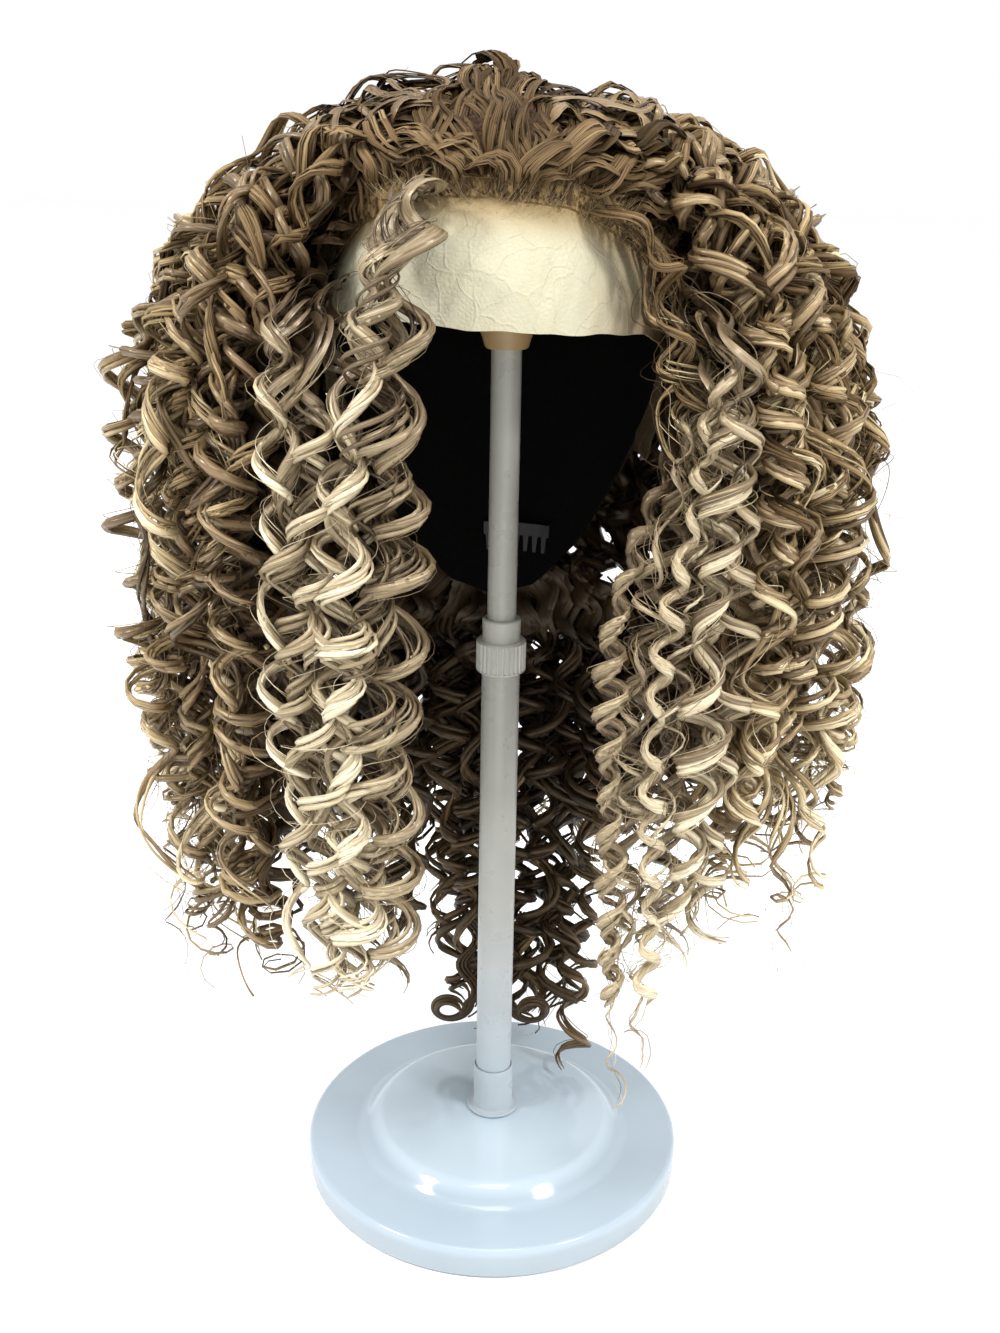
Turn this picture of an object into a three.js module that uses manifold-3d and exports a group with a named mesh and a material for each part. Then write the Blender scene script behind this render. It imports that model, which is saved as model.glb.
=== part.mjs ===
// A long curly lace front wig on a telescoping wig stand.
// Millimetres, +Z up. The origin is the centre of the base's underside, and the wig faces -Y.
// Azimuths are in degrees from the front, positive towards +X.

import * as THREE from 'three';
import { mergeVertices } from 'three/addons/utils/BufferGeometryUtils.js';
import Module from 'manifold-3d';

const wasm = await Module();
wasm.setup();

// Driving dimensions of the stand.
const base = {
  radius: 107,
  rimHeight: 18,
  edgeRound: 3,
  stepFoot: 79,
  stepTop: 64,
  plateauHeight: 28,
  centreHeight: 31,
  sides: 36,
};
const pole = {
  lowerDiameter: 20,
  upperDiameter: 15,
  wall: 1.8,
  lowerTop: 316,
  upperBottom: 236,
  upperTop: 512,
  sides: 16,
};
const socket = {
  flangeDiameter: 30,
  flangeThickness: 1.6,
  sleeveDiameter: 22.4,
  height: 28,
};
const collar = {
  ringBottom: 302,
  ringTop: 319,
  sleeveTop: 330.5,
  ringDiameter: 26,
  sleeveDiameter: 20,
  ribs: 20,
  ribDepth: 0.7,
};
const dome = {
  radius: 66,
  rimHeight: 496,
  rise: 64,
  wall: 2.4,
  hubBottom: 468,
  hubFootRadius: 12,
  hubTopRadius: 21,
  sides: 20,
};
const fitGap = 0.4;
const slideGap = 0.3;
const hairGap = 1.8;

// Driving dimensions of the wig cap, whose form is that of a head.
const head = {
  centreX: -6,
  centreY: 10,
  equator: 470,
  bottom: 300,
  rise: 104,
  halfWidth: 83,
  front: 90,
  back: 88,
  taperHeight: 160,
  sideTaper: 0.16,
  backTaper: 0.1,
};
const cap = { wall: 1.5, columns: 32, rows: 7 };
const lace = { wall: 1.2, columns: 20, rows: 3, reach: 112.5, tilt: 0.05 };
const comb = {
  from: 154,
  to: 184,
  height: 352,
  spineHeight: 7,
  thickness: 1.6,
  teeth: 7,
  toothShare: 0.7,
  toothLength: 9,
  clearance: 1.6,
};

// Lower edges round the cap: where the cap ends, and where the lace below it ends.
const edgeRows = [
  { azimuth: 0, cap: 541, lace: 485 },
  { azimuth: 30, cap: 539, lace: 485 },
  { azimuth: 58, cap: 524, lace: 484 },
  { azimuth: 76, cap: 502, lace: 474 },
  { azimuth: 90, cap: 474, lace: 436 },
  { azimuth: 101, cap: 446, lace: 412 },
  { azimuth: 112.5, cap: 424, lace: 415 },
  { azimuth: 140, cap: 356, lace: 350 },
  { azimuth: 160, cap: 325, lace: 320 },
  { azimuth: 180, cap: 316, lace: 310 },
];

// The hanging hair fills a bell. Layer 0 lies on the cap, and layer 1 is the outside.
const bell = {
  centreX: 0,
  centreY: 12,
  shoulder: 400,
  outer: { side: 171, front: 112, back: 122, rise: 176 },
  inner: { side: 98, front: 98, back: 106, rise: 112 },
  slopes: [66, 40, 14],
  hipShare: 0.4,
  crownRoot: 562,
  rootAboveEdge: 12,
};
const backing = {
  columns: 20,
  rows: 4,
  crown: 19,
  ridge: 20,
  furrow: 14,
  hem: 8,
  hemAboveEdge: 4,
  standOff: 5,
  rootDepth: 17,
  looseDepth: 9,
};
const lockShape = {
  sides: 4,
  stepsPerTurn: 3.1,
  phaseStep: 2.4,
  coilsFrom: 0.2,
  rootThickness: 0.85,
  fullFrom: 0.25,
  taperFrom: 0.72,
  tipThickness: 0.4,
};

// Rows of locks: azimuths of the first and last, layer, heights of their tips, and the curl.
const lockRows = [
  { node: 'hair_left', from: -48, to: -99, count: 4, layer: 1, firstTip: 150, lastTip: 200,
    thickness: 15, coil: 10, pitch: 116 },
  { node: 'hair_left', from: -52, to: -90, count: 3, layer: 0.4, firstTip: 160, lastTip: 180,
    thickness: 15, coil: 8, pitch: 120 },
  { node: 'hair_right', from: 44, to: 99, count: 4, layer: 1, firstTip: 158, lastTip: 212,
    thickness: 15, coil: 10, pitch: 116 },
  { node: 'hair_right', from: 42, to: 89, count: 3, layer: 0.4, firstTip: 170, lastTip: 190,
    thickness: 15, coil: 8, pitch: 120 },
  { node: 'hair_back', from: 118, to: 242, count: 6, layer: 1, firstTip: 170, lastTip: 160,
    middleDrop: 60, thickness: 17, coil: 10, pitch: 122 },
  { node: 'hair_back', from: 140, to: 220, count: 3, layer: 0.4, firstTip: 130, lastTip: 120,
    middleDrop: 50, thickness: 17, coil: 8, pitch: 122 },
];

// Locks placed one by one: the root on the cap, the place they hang at, and the tip.
const looseLocks = [
  { node: 'front_lock_left', azimuth: -34, height: 548, x: -46, y: -100, drop: 492,
    tipX: -44, tipY: -102, tip: 232, thickness: 8, coil: 9, pitch: 62 },
  { node: 'front_lock_left', azimuth: -50, height: 534, x: -70, y: -98, drop: 488,
    tipX: -58, tipY: -102, tip: 172, thickness: 10, coil: 9, pitch: 74 },
  { node: 'front_lock_left', azimuth: -66, height: 520, x: -96, y: -86, drop: 480,
    tipX: -88, tipY: -90, tip: 158, thickness: 12, coil: 9, pitch: 80 },
  { node: 'front_ringlets_right', azimuth: 60, height: 524, x: 82, y: -92, drop: 468,
    tipX: 78, tipY: -98, tip: 176, thickness: 9, coil: 8, pitch: 62 },
  { node: 'front_ringlets_right', azimuth: 68, height: 514, x: 60, y: -100, drop: 440,
    tipX: 60, tipY: -102, tip: 168, thickness: 8, coil: 8, pitch: 62 },
  { node: 'hair_back', azimuth: 194, height: 340, x: -20, y: 106, drop: 290,
    tipX: -20, tipY: 98, tip: 34, thickness: 11, coil: 7, pitch: 90 },
  { node: 'hair_back', azimuth: 172, height: 340, x: 16, y: 106, drop: 290,
    tipX: 16, tipY: 98, tip: 36, thickness: 11, coil: 7, pitch: 90 },
  { node: 'hair_back', azimuth: 150, height: 350, x: 44, y: 98, drop: 290,
    tipX: 56, tipY: 58, tip: 42, thickness: 10, coil: 6, pitch: 90 },
];

const tuftThickness = 9;
const partingX = -7;
const backSplitY = 46;
const sectorSize = 800;
const weld = 1e-4;
const shortestEdge = 0.08;

const finishes = {
  plastic: { color: 0xd3dde3, roughness: 0.28, metalness: 0 },
  cap: { color: 0x17130f, roughness: 0.9, metalness: 0 },
  lace: { color: 0xeee0bf, roughness: 0.85, metalness: 0 },
  comb: { color: 0x4a443c, roughness: 0.5, metalness: 0 },
  hair: { color: 0x8d7450, roughness: 0.45, metalness: 0 },
  darkHair: { color: 0x5d4630, roughness: 0.45, metalness: 0 },
  blond: { color: 0xd8bd88, roughness: 0.42, metalness: 0 },
};

const assembly = new THREE.Group();

function addPiece(name, geometry, finish) {
  const mesh = new THREE.Mesh(geometry, new THREE.MeshStandardMaterial(finishes[finish]));
  mesh.name = name;
  assembly.add(mesh);
  return mesh;
}

const radians = THREE.MathUtils.degToRad;
const mix = THREE.MathUtils.lerp;

// A closed solid from a geometry, with shared corners merged and flat triangles dropped.
function solidOf(geometry) {
  const bare = geometry.clone();
  bare.deleteAttribute('normal');
  bare.deleteAttribute('uv');
  const merged = mergeVertices(bare, weld);
  const corners = merged.index.array;
  const triangles = [];
  for (let i = 0; i < corners.length; i += 3) {
    const [a, b, c] = corners.slice(i, i + 3);
    if (a !== b && b !== c && c !== a) {
      triangles.push(a, b, c);
    }
  }
  return new wasm.Manifold(new wasm.Mesh({
    numProp: 3,
    vertProperties: new Float32Array(merged.attributes.position.array),
    triVerts: new Uint32Array(triangles),
  }));
}

function geometryOf(solid) {
  const mesh = solid.getMesh();
  const geometry = new THREE.BufferGeometry();
  geometry.setAttribute('position', new THREE.BufferAttribute(new Float32Array(mesh.vertProperties), 3));
  geometry.setIndex(new THREE.BufferAttribute(new Uint32Array(mesh.triVerts), 1));
  geometry.computeVertexNormals();
  return geometry;
}

// The same solid with the ends of its shortest edges drawn together, so that no slivers are left.
function withoutSlivers(solid) {
  const mesh = solid.getMesh();
  const places = mesh.vertProperties;
  const same = Array.from({ length: places.length / 3 }, (_, i) => i);
  const keeper = (i) => (same[i] === i ? i : keeper(same[i]));
  const place = (i) => new THREE.Vector3().fromArray(places, i * 3);
  for (let i = 0; i < mesh.triVerts.length; i += 1) {
    const a = mesh.triVerts[i];
    const b = mesh.triVerts[i % 3 === 2 ? i - 2 : i + 1];
    if (place(a).distanceTo(place(b)) < shortestEdge) {
      same[keeper(b)] = keeper(a);
    }
  }
  const geometry = new THREE.BufferGeometry();
  const kept = Array.from(mesh.triVerts, (i) => keeper(i));
  geometry.setAttribute('position', new THREE.BufferAttribute(new Float32Array(places), 3));
  geometry.setIndex(kept);
  return solidOf(geometry);
}

// The outer skin of the largest body: loose crumbs and sealed pockets are left out.
function mainBody(solid) {
  const bodies = solid.decompose();
  return bodies.reduce((largest, body) => (body.volume() > largest.volume() ? body : largest));
}

// A turned piece from its profile of [radius, height] pairs.
function turned(profile, sides) {
  const points = profile.map(([radius, height]) => new THREE.Vector2(radius, height));
  const geometry = new THREE.LatheGeometry(points, sides);
  geometry.rotateX(Math.PI / 2);
  return geometryOf(solidOf(geometry));
}

function tube(outerDiameter, innerDiameter, bottom, top, sides) {
  const outer = outerDiameter / 2;
  const inner = innerDiameter / 2;
  return turned([[inner, bottom], [outer, bottom], [outer, top], [inner, top], [inner, bottom]], sides);
}

// A wall between two skins. Each skin gives a point for a share across and a share down.
function wall(columns, rows, outerAt, innerAt, around) {
  const across = around ? columns : columns + 1;
  const layerSize = across * (rows + 1);
  const vertices = [];
  for (const pointAt of [outerAt, innerAt]) {
    for (let row = 0; row <= rows; row += 1) {
      for (let column = 0; column < across; column += 1) {
        vertices.push(...pointAt(column / columns, row / rows).toArray());
      }
    }
  }
  const outer = (column, row) => row * across + (column % across);
  const inner = (column, row) => layerSize + outer(column, row);
  const corners = [];
  const quad = (a, b, c, d) => corners.push(a, b, c, a, c, d);
  for (let column = 0; column < columns; column += 1) {
    const next = column + 1;
    for (let row = 0; row < rows; row += 1) {
      quad(outer(column, row), outer(column, row + 1), outer(next, row + 1), outer(next, row));
      quad(inner(column, row), inner(next, row), inner(next, row + 1), inner(column, row + 1));
    }
    quad(outer(column, rows), inner(column, rows), inner(next, rows), outer(next, rows));
    quad(outer(column, 0), outer(next, 0), inner(next, 0), inner(column, 0));
  }
  for (let row = 0; row < rows && !around; row += 1) {
    quad(outer(0, row), inner(0, row), inner(0, row + 1), outer(0, row + 1));
    quad(outer(columns, row), outer(columns, row + 1), inner(columns, row + 1), inner(columns, row));
  }
  const geometry = new THREE.BufferGeometry();
  geometry.setAttribute('position', new THREE.Float32BufferAttribute(vertices, 3));
  geometry.setIndex(corners);
  return solidOf(geometry);
}

// The stand.

function baseGeometry() {
  const { radius, rimHeight, edgeRound, stepFoot, stepTop, plateauHeight, centreHeight } = base;
  const stepMiddle = (stepFoot + stepTop) / 2;
  const stepHeight = (rimHeight + plateauHeight) / 2;
  const cornerShare = 1 - Math.SQRT1_2;
  return turned([
    [0, 0],
    [radius - edgeRound, 0],
    [radius, edgeRound],
    [radius, rimHeight - edgeRound],
    [radius - edgeRound * cornerShare, rimHeight - edgeRound * cornerShare],
    [radius - edgeRound, rimHeight],
    [stepFoot, rimHeight + 1],
    [stepMiddle, stepHeight],
    [stepTop, plateauHeight],
    [socket.flangeDiameter / 2 + 1, centreHeight],
    [0, centreHeight],
  ], base.sides);
}

const socketBottom = base.centreHeight + slideGap;

function socketGeometry() {
  const { flangeDiameter, flangeThickness, sleeveDiameter, height } = socket;
  const inner = pole.lowerDiameter / 2 + slideGap;
  return turned([
    [inner, socketBottom],
    [flangeDiameter / 2, socketBottom],
    [flangeDiameter / 2, socketBottom + flangeThickness],
    [sleeveDiameter / 2, socketBottom + flangeThickness],
    [sleeveDiameter / 2, socketBottom + height],
    [inner, socketBottom + height],
    [inner, socketBottom],
  ], pole.sides);
}

// The ribbed ring grips the lower tube, and its sleeve closes on the upper tube.
function collarGeometry() {
  const { ringBottom, ringTop, sleeveTop, ringDiameter, sleeveDiameter, ribs, ribDepth } = collar;
  const outline = new THREE.Shape();
  for (let i = 0; i < ribs * 2; i += 1) {
    const angle = (Math.PI * i) / ribs;
    const radius = ringDiameter / 2 - (i % 2 ? ribDepth : 0);
    const place = [radius * Math.cos(angle), radius * Math.sin(angle)];
    if (i === 0) {
      outline.moveTo(...place);
    } else {
      outline.lineTo(...place);
    }
  }
  const ribbed = new THREE.ExtrudeGeometry(outline, { depth: ringTop - ringBottom, bevelEnabled: false });
  ribbed.translate(0, 0, ringBottom);
  const sleeve = turned([
    [0, ringBottom],
    [sleeveDiameter / 2, ringBottom],
    [sleeveDiameter / 2, sleeveTop],
    [0, sleeveTop],
  ], pole.sides);
  const lowerBore = pole.lowerDiameter / 2 + slideGap;
  const upperBore = pole.upperDiameter / 2 + slideGap;
  const bore = turned([
    [0, ringBottom - 1],
    [lowerBore, ringBottom - 1],
    [lowerBore, pole.lowerTop + slideGap],
    [upperBore, pole.lowerTop + slideGap],
    [upperBore, sleeveTop + 1],
    [0, sleeveTop + 1],
  ], pole.sides);
  return geometryOf(solidOf(ribbed).add(solidOf(sleeve)).subtract(solidOf(bore)));
}

// A hollow dome with a tapered hub, whose bore takes the top of the upper tube.
function domeGeometry() {
  const { radius, rimHeight, rise, wall: thickness, hubBottom, hubFootRadius, hubTopRadius } = dome;
  const bore = pole.upperDiameter / 2 + slideGap;
  const boreTop = pole.upperTop + slideGap;
  const arcSteps = 5;
  const innerRadius = radius - thickness;
  const innerRise = rise - thickness;
  const hubMeets = Math.acos(hubTopRadius / innerRadius);
  const profile = [[0, boreTop], [bore, boreTop], [bore, hubBottom], [hubFootRadius, hubBottom]];
  for (let i = 0; i <= arcSteps; i += 1) {
    const angle = hubMeets * (1 - i / arcSteps);
    profile.push([innerRadius * Math.cos(angle), rimHeight + innerRise * Math.sin(angle)]);
  }
  for (let i = 0; i <= arcSteps; i += 1) {
    const angle = (Math.PI / 2) * (i / arcSteps);
    profile.push([radius * Math.cos(angle), rimHeight + rise * Math.sin(angle)]);
  }
  return turned(profile, dome.sides);
}

// The cap and the lace.

// A point of the head form, grown outwards by a distance.
function headPoint(azimuth, height, grown) {
  const angle = radians(azimuth);
  const rise = head.rise + grown;
  const above = Math.min((height - head.equator) / rise, 1);
  const below = Math.max((head.equator - height) / head.taperHeight, 0);
  const dome = above > 0 ? Math.sqrt(1 - above * above) : 1;
  const sideShare = dome * (1 - head.sideTaper * below * below);
  const backShare = dome * (1 - head.backTaper * below * below);
  const depth = Math.cos(angle) > 0 ? head.front : head.back;
  return new THREE.Vector3(
    head.centreX + (head.halfWidth + grown) * sideShare * Math.sin(angle),
    head.centreY - (depth + grown) * backShare * Math.cos(angle),
    height,
  );
}

function edgeHeight(azimuth, column) {
  const turn = Math.abs(THREE.MathUtils.euclideanModulo(azimuth + 180, 360) - 180);
  const next = Math.max(edgeRows.findIndex((row) => row.azimuth >= turn), 1);
  const before = edgeRows[next - 1];
  const after = edgeRows[next];
  const share = (turn - before.azimuth) / (after.azimuth - before.azimuth);
  const tilted = -lace.tilt * head.halfWidth * Math.sin(radians(azimuth));
  return mix(before[column], after[column], share) + tilted;
}

// The height of a share of the way down from the crown to an edge, in even steps of slope.
function heightDown(edge, share, grown) {
  const top = head.equator + head.rise + grown;
  const edgeSlope = Math.acos(THREE.MathUtils.clamp((edge - head.equator) / (head.rise + grown), 0, 1));
  const domeLength = head.rise * edgeSlope;
  const wallLength = Math.max(head.equator - edge, 0);
  const along = share * (domeLength + wallLength);
  if (along <= domeLength) {
    return head.equator + (top - head.equator) * Math.cos(along / head.rise);
  }
  return head.equator - (along - domeLength);
}

function capSkin(grown) {
  return (across, down) => {
    const azimuth = across * 360;
    return headPoint(azimuth, heightDown(edgeHeight(azimuth, 'cap'), down, grown), grown);
  };
}

function capSolid() {
  return wall(cap.columns, cap.rows, capSkin(0), capSkin(-cap.wall), true);
}

function laceSolid() {
  const skin = (grown) => (across, down) => {
    const azimuth = mix(-lace.reach, lace.reach, across);
    const top = edgeHeight(azimuth, 'cap') - fitGap;
    return headPoint(azimuth, mix(top, edgeHeight(azimuth, 'lace'), down), grown);
  };
  return wall(lace.columns, lace.rows, skin(0), skin(-lace.wall), false);
}

// A comb that follows the inside of the nape, teeth down.
function combGeometry() {
  const outside = -cap.wall - comb.clearance;
  const inside = outside - comb.thickness;
  const pitch = (comb.to - comb.from) / comb.teeth;
  const strip = (columns, from, to, top, bottom, narrowing) => {
    const skin = (grown) => (across, down) => {
      const inset = narrowing * down * (to - from) * (0.5 - across);
      return headPoint(mix(from, to, across) + inset, mix(top, bottom, down), grown);
    };
    return wall(columns, 1, skin(outside), skin(inside), false);
  };
  let solid = strip(comb.teeth, comb.from, comb.to, comb.height + comb.spineHeight, comb.height, 0);
  for (let i = 0; i < comb.teeth; i += 1) {
    const middle = comb.from + pitch * (i + 0.5);
    const half = (pitch * comb.toothShare) / 2;
    const top = comb.height + comb.spineHeight / 2;
    const tooth = strip(1, middle - half, middle + half, top, comb.height - comb.toothLength, 0.5);
    solid = solid.add(tooth);
  }
  return geometryOf(solid);
}

// The hair.

// A point of the bell that the hair fills, at a slope from its shoulder to its crown.
function bellPoint(azimuth, layer, slope) {
  const angle = radians(azimuth);
  const facing = Math.cos(angle) > 0 ? 'front' : 'back';
  const reach = Math.cos(radians(slope));
  const side = mix(bell.inner.side, bell.outer.side, layer);
  const depth = mix(bell.inner[facing], bell.outer[facing], layer);
  const rise = mix(bell.inner.rise, bell.outer.rise, layer);
  return new THREE.Vector3(
    bell.centreX + side * reach * Math.sin(angle),
    bell.centreY - depth * reach * Math.cos(angle),
    bell.shoulder + rise * Math.sin(radians(slope)),
  );
}

function rowLocks(row) {
  const locks = [];
  for (let i = 0; i < row.count; i += 1) {
    const share = row.count > 1 ? i / (row.count - 1) : 0.5;
    const azimuth = mix(row.from, row.to, share);
    const drop = (row.middleDrop ?? 0) * Math.sin(Math.PI * share);
    const tipHeight = mix(row.firstTip, row.lastTip, share) - drop;
    const lowRoot = edgeHeight(azimuth, 'cap') + bell.rootAboveEdge;
    const rootHeight = mix(lowRoot, bell.crownRoot, Math.sqrt(row.layer));
    const root = headPoint(azimuth, rootHeight, backing.rootDepth);
    const shoulders = bell.slopes.map((slope) => bellPoint(azimuth, row.layer, slope));
    const falling = shoulders.filter((point) => point.z < rootHeight + bell.rootAboveEdge);
    const hip = bellPoint(azimuth, row.layer, 0);
    const tip = hip.clone().setZ(tipHeight);
    hip.z = mix(bell.shoulder, tipHeight, bell.hipShare);
    const start = (i + row.layer) * lockShape.phaseStep;
    locks.push({ ...row, path: [root, ...falling, hip, tip], start });
  }
  return locks;
}

function loosePath(lock) {
  const root = headPoint(lock.azimuth, lock.height, backing.looseDepth);
  const knee = new THREE.Vector3(lock.x, lock.y, lock.drop);
  const tip = new THREE.Vector3(lock.tipX, lock.tipY, lock.tip);
  return [root, knee, knee.clone().lerp(tip, 0.5).setX(lock.x), tip];
}

// A tapered corkscrew lock round a falling path, grown by a clearance where it cuts another piece.
function lockSolid(lock, grown) {
  const path = new THREE.CatmullRomCurve3(lock.path, false, 'centripetal');
  const length = path.getLength();
  const turns = length / lock.pitch;
  const steps = Math.ceil(turns * lockShape.stepsPerTurn);
  const centres = [];
  for (let i = 0; i <= steps; i += 1) {
    const share = i / steps;
    const along = path.getTangentAt(share);
    const sideways = new THREE.Vector3(1, 0, 0);
    sideways.addScaledVector(along, -sideways.dot(along)).normalize();
    const outwards = along.clone().cross(sideways);
    const angle = lock.start + 2 * Math.PI * turns * share;
    const coil = lock.coil * Math.min(share / lockShape.coilsFrom, 1);
    const centre = path.getPointAt(share);
    centre.addScaledVector(sideways, coil * Math.cos(angle));
    centre.addScaledVector(outwards, coil * Math.sin(angle));
    centres.push(centre);
  }
  return sweptLock(centres, lock.thickness, grown);
}

function sweptLock(centres, thickness, grown) {
  const { sides, rootThickness, fullFrom, taperFrom, tipThickness } = lockShape;
  const last = centres.length - 1;
  const vertices = [];
  const normal = new THREE.Vector3(1, 1, 0);
  centres.forEach((centre, i) => {
    const along = centres[Math.min(i + 1, last)].clone().sub(centres[Math.max(i - 1, 0)]).normalize();
    normal.addScaledVector(along, -normal.dot(along)).normalize();
    const across = along.clone().cross(normal);
    const share = i / last;
    const swell = mix(rootThickness, 1, Math.min(share / fullFrom, 1));
    const taper = mix(1, tipThickness, THREE.MathUtils.smoothstep(share, taperFrom, 1));
    const radius = thickness * swell * taper + grown;
    for (let k = 0; k < sides; k += 1) {
      const angle = (2 * Math.PI * k) / sides;
      const corner = centre.clone();
      corner.addScaledVector(normal, radius * Math.cos(angle));
      corner.addScaledVector(across, radius * Math.sin(angle));
      vertices.push(...corner.toArray());
    }
  });
  const corners = [];
  const at = (i, k) => i * sides + (k % sides);
  for (let k = 0; k < sides; k += 1) {
    for (let i = 0; i < last; i += 1) {
      corners.push(at(i, k), at(i, k + 1), at(i + 1, k + 1), at(i, k), at(i + 1, k + 1), at(i + 1, k));
    }
    if (k > 0 && k < sides - 1) {
      corners.push(at(0, 0), at(0, k + 1), at(0, k), at(last, 0), at(last, k), at(last, k + 1));
    }
  }
  const geometry = new THREE.BufferGeometry();
  geometry.setAttribute('position', new THREE.Float32BufferAttribute(vertices, 3));
  geometry.setIndex(corners);
  return solidOf(geometry);
}

// The backing that carries the locks: a ridged wall of hair over the cap.
function backingSolid() {
  const skin = (depthAt) => (across, down) => {
    const azimuth = across * 360;
    const column = Math.round(across * backing.columns);
    const grown = depthAt(column, down);
    const hem = edgeHeight(azimuth, 'cap') + backing.hemAboveEdge;
    return headPoint(azimuth, heightDown(hem, down, grown), grown);
  };
  const outside = (column, down) => {
    const ridged = column % 2 ? backing.ridge : backing.furrow;
    const full = down > 0 ? ridged : backing.crown;
    return mix(full, backing.hem, down * down * down);
  };
  return wall(backing.columns, backing.rows, skin(outside), skin(() => backing.standOff), true);
}

// The solid space inside the cap and lace, grown by a gap, that no hair enters.
function headSolid() {
  const { centreX, centreY, equator, bottom } = head;
  const skin = (across, down) => headPoint(across * 360, heightDown(bottom, down, hairGap), hairGap);
  const axis = (across, down) => new THREE.Vector3(centreX, centreY, mix(equator, bottom, down));
  return wall(cap.columns, cap.rows * 2, skin, axis, true);
}

function sectorSolid(centreX, centreY) {
  const sector = new THREE.BoxGeometry(sectorSize, sectorSize, sectorSize * 2);
  sector.translate(centreX, centreY, sectorSize / 2);
  return solidOf(sector);
}

function unionOf(solids) {
  return solids.reduce((sum, solid) => sum.add(solid));
}

function looseSolids(node, grown) {
  const locks = looseLocks.filter((lock) => lock.node === node);
  return locks.map((lock, i) => {
    const start = i * lockShape.phaseStep;
    return lockSolid({ ...lock, path: loosePath(lock), start }, grown);
  });
}

// Front locks share a tuft along the hairline that fuses their roots.
function frontLockSolid(node, grown) {
  const roots = looseLocks.filter((lock) => lock.node === node).map((lock) => loosePath(lock)[0]);
  return unionOf([sweptLock(roots, tuftThickness, grown), ...looseSolids(node, grown)]);
}

function buildHair() {
  const headSpace = headSolid();
  const fronts = [['front_lock_left', 'blond'], ['front_ringlets_right', 'blond']];
  fronts.forEach(([name, finish]) => {
    const locks = mainBody(frontLockSolid(name, 0).subtract(headSpace));
    addPiece(name, geometryOf(withoutSlivers(locks)), finish);
  });
  const frontSpace = unionOf(fronts.map(([name]) => frontLockSolid(name, hairGap)));
  const half = sectorSize / 2;
  const gap = fitGap / 2;
  const sectors = [
    ['hair_left', 'hair', partingX - gap - half, backSplitY - gap - half],
    ['hair_right', 'hair', partingX + gap + half, backSplitY - gap - half],
    ['hair_back', 'darkHair', 0, backSplitY + gap + half],
  ];
  const backingWall = backingSolid();
  sectors.forEach(([name, finish, centreX, centreY]) => {
    const rows = lockRows.filter((row) => row.node === name);
    const locks = rows.flatMap(rowLocks).map((lock) => lockSolid(lock, 0));
    const curls = [...locks, ...looseSolids(name, 0)];
    const whole = unionOf([backingWall, ...curls]).intersect(sectorSolid(centreX, centreY));
    const cut = whole.subtract(headSpace).subtract(frontSpace);
    addPiece(name, geometryOf(withoutSlivers(mainBody(cut))), finish);
  });
}

addPiece('stand_base', baseGeometry(), 'plastic');
addPiece('base_socket', socketGeometry(), 'plastic');
addPiece('lower_tube', tube(
  pole.lowerDiameter, pole.lowerDiameter - 2 * pole.wall, socketBottom, pole.lowerTop, pole.sides,
), 'plastic');
addPiece('lock_collar', collarGeometry(), 'plastic');
addPiece('upper_tube', tube(
  pole.upperDiameter, pole.upperDiameter - 2 * pole.wall, pole.upperBottom, pole.upperTop, pole.sides,
), 'plastic');
addPiece('top_dome', domeGeometry(), 'plastic');
addPiece('cap', geometryOf(capSolid()), 'cap');
addPiece('lace_front', geometryOf(laceSolid()), 'lace');
addPiece('back_comb', combGeometry(), 'comb');
buildHair();

export default assembly;
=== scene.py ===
import math
import bpy
import numpy as np
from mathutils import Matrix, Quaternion


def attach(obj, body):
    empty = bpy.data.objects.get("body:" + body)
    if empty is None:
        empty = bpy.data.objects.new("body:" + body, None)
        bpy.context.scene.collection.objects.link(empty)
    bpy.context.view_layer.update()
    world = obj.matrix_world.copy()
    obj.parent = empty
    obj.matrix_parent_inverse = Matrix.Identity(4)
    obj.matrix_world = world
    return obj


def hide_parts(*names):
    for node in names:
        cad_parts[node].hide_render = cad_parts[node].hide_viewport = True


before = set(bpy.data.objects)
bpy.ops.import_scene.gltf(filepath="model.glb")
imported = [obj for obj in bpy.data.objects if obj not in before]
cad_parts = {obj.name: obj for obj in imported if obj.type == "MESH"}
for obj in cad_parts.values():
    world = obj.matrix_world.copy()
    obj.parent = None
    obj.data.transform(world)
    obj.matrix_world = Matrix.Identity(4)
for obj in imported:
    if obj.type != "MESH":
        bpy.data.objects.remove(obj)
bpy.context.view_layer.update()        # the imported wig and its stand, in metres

mm = 0.001
rng = np.random.default_rng(27)
print("frame loaded:", len(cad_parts), "nodes")


def between(low, high, share):
    return low + (high - low) * share


# Camera, light and floor
camera = {"focal": 1450, "frameHeight": 1333, "pitch": 19.763, "roll": 1.06, "place": (-0.4, -714.7, 560.4)}
lamps = (
    {"name": "leftLamp", "place": (-1.4, -0.6, 1.75), "size": 0.32, "power": 29.0},
    {"name": "rightLamp", "place": (1.2, -0.9, 1.7), "size": 0.32, "power": 27.0},
    {"name": "topLamp", "place": (-0.1, -0.3, 2.1), "size": 1.0, "power": 14.0},
)
studio = {"world": (1.0, 1.0, 1.0), "worldStrength": 1.0, "aim": (0, 0, 0.35)}


def aimAt(thing, target):
    x, y, z = (t - p for t, p in zip(target, thing.location))
    thing.rotation_euler = (math.atan2(math.hypot(x, y), -z), 0, math.atan2(y, x) - math.pi / 2)


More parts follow.
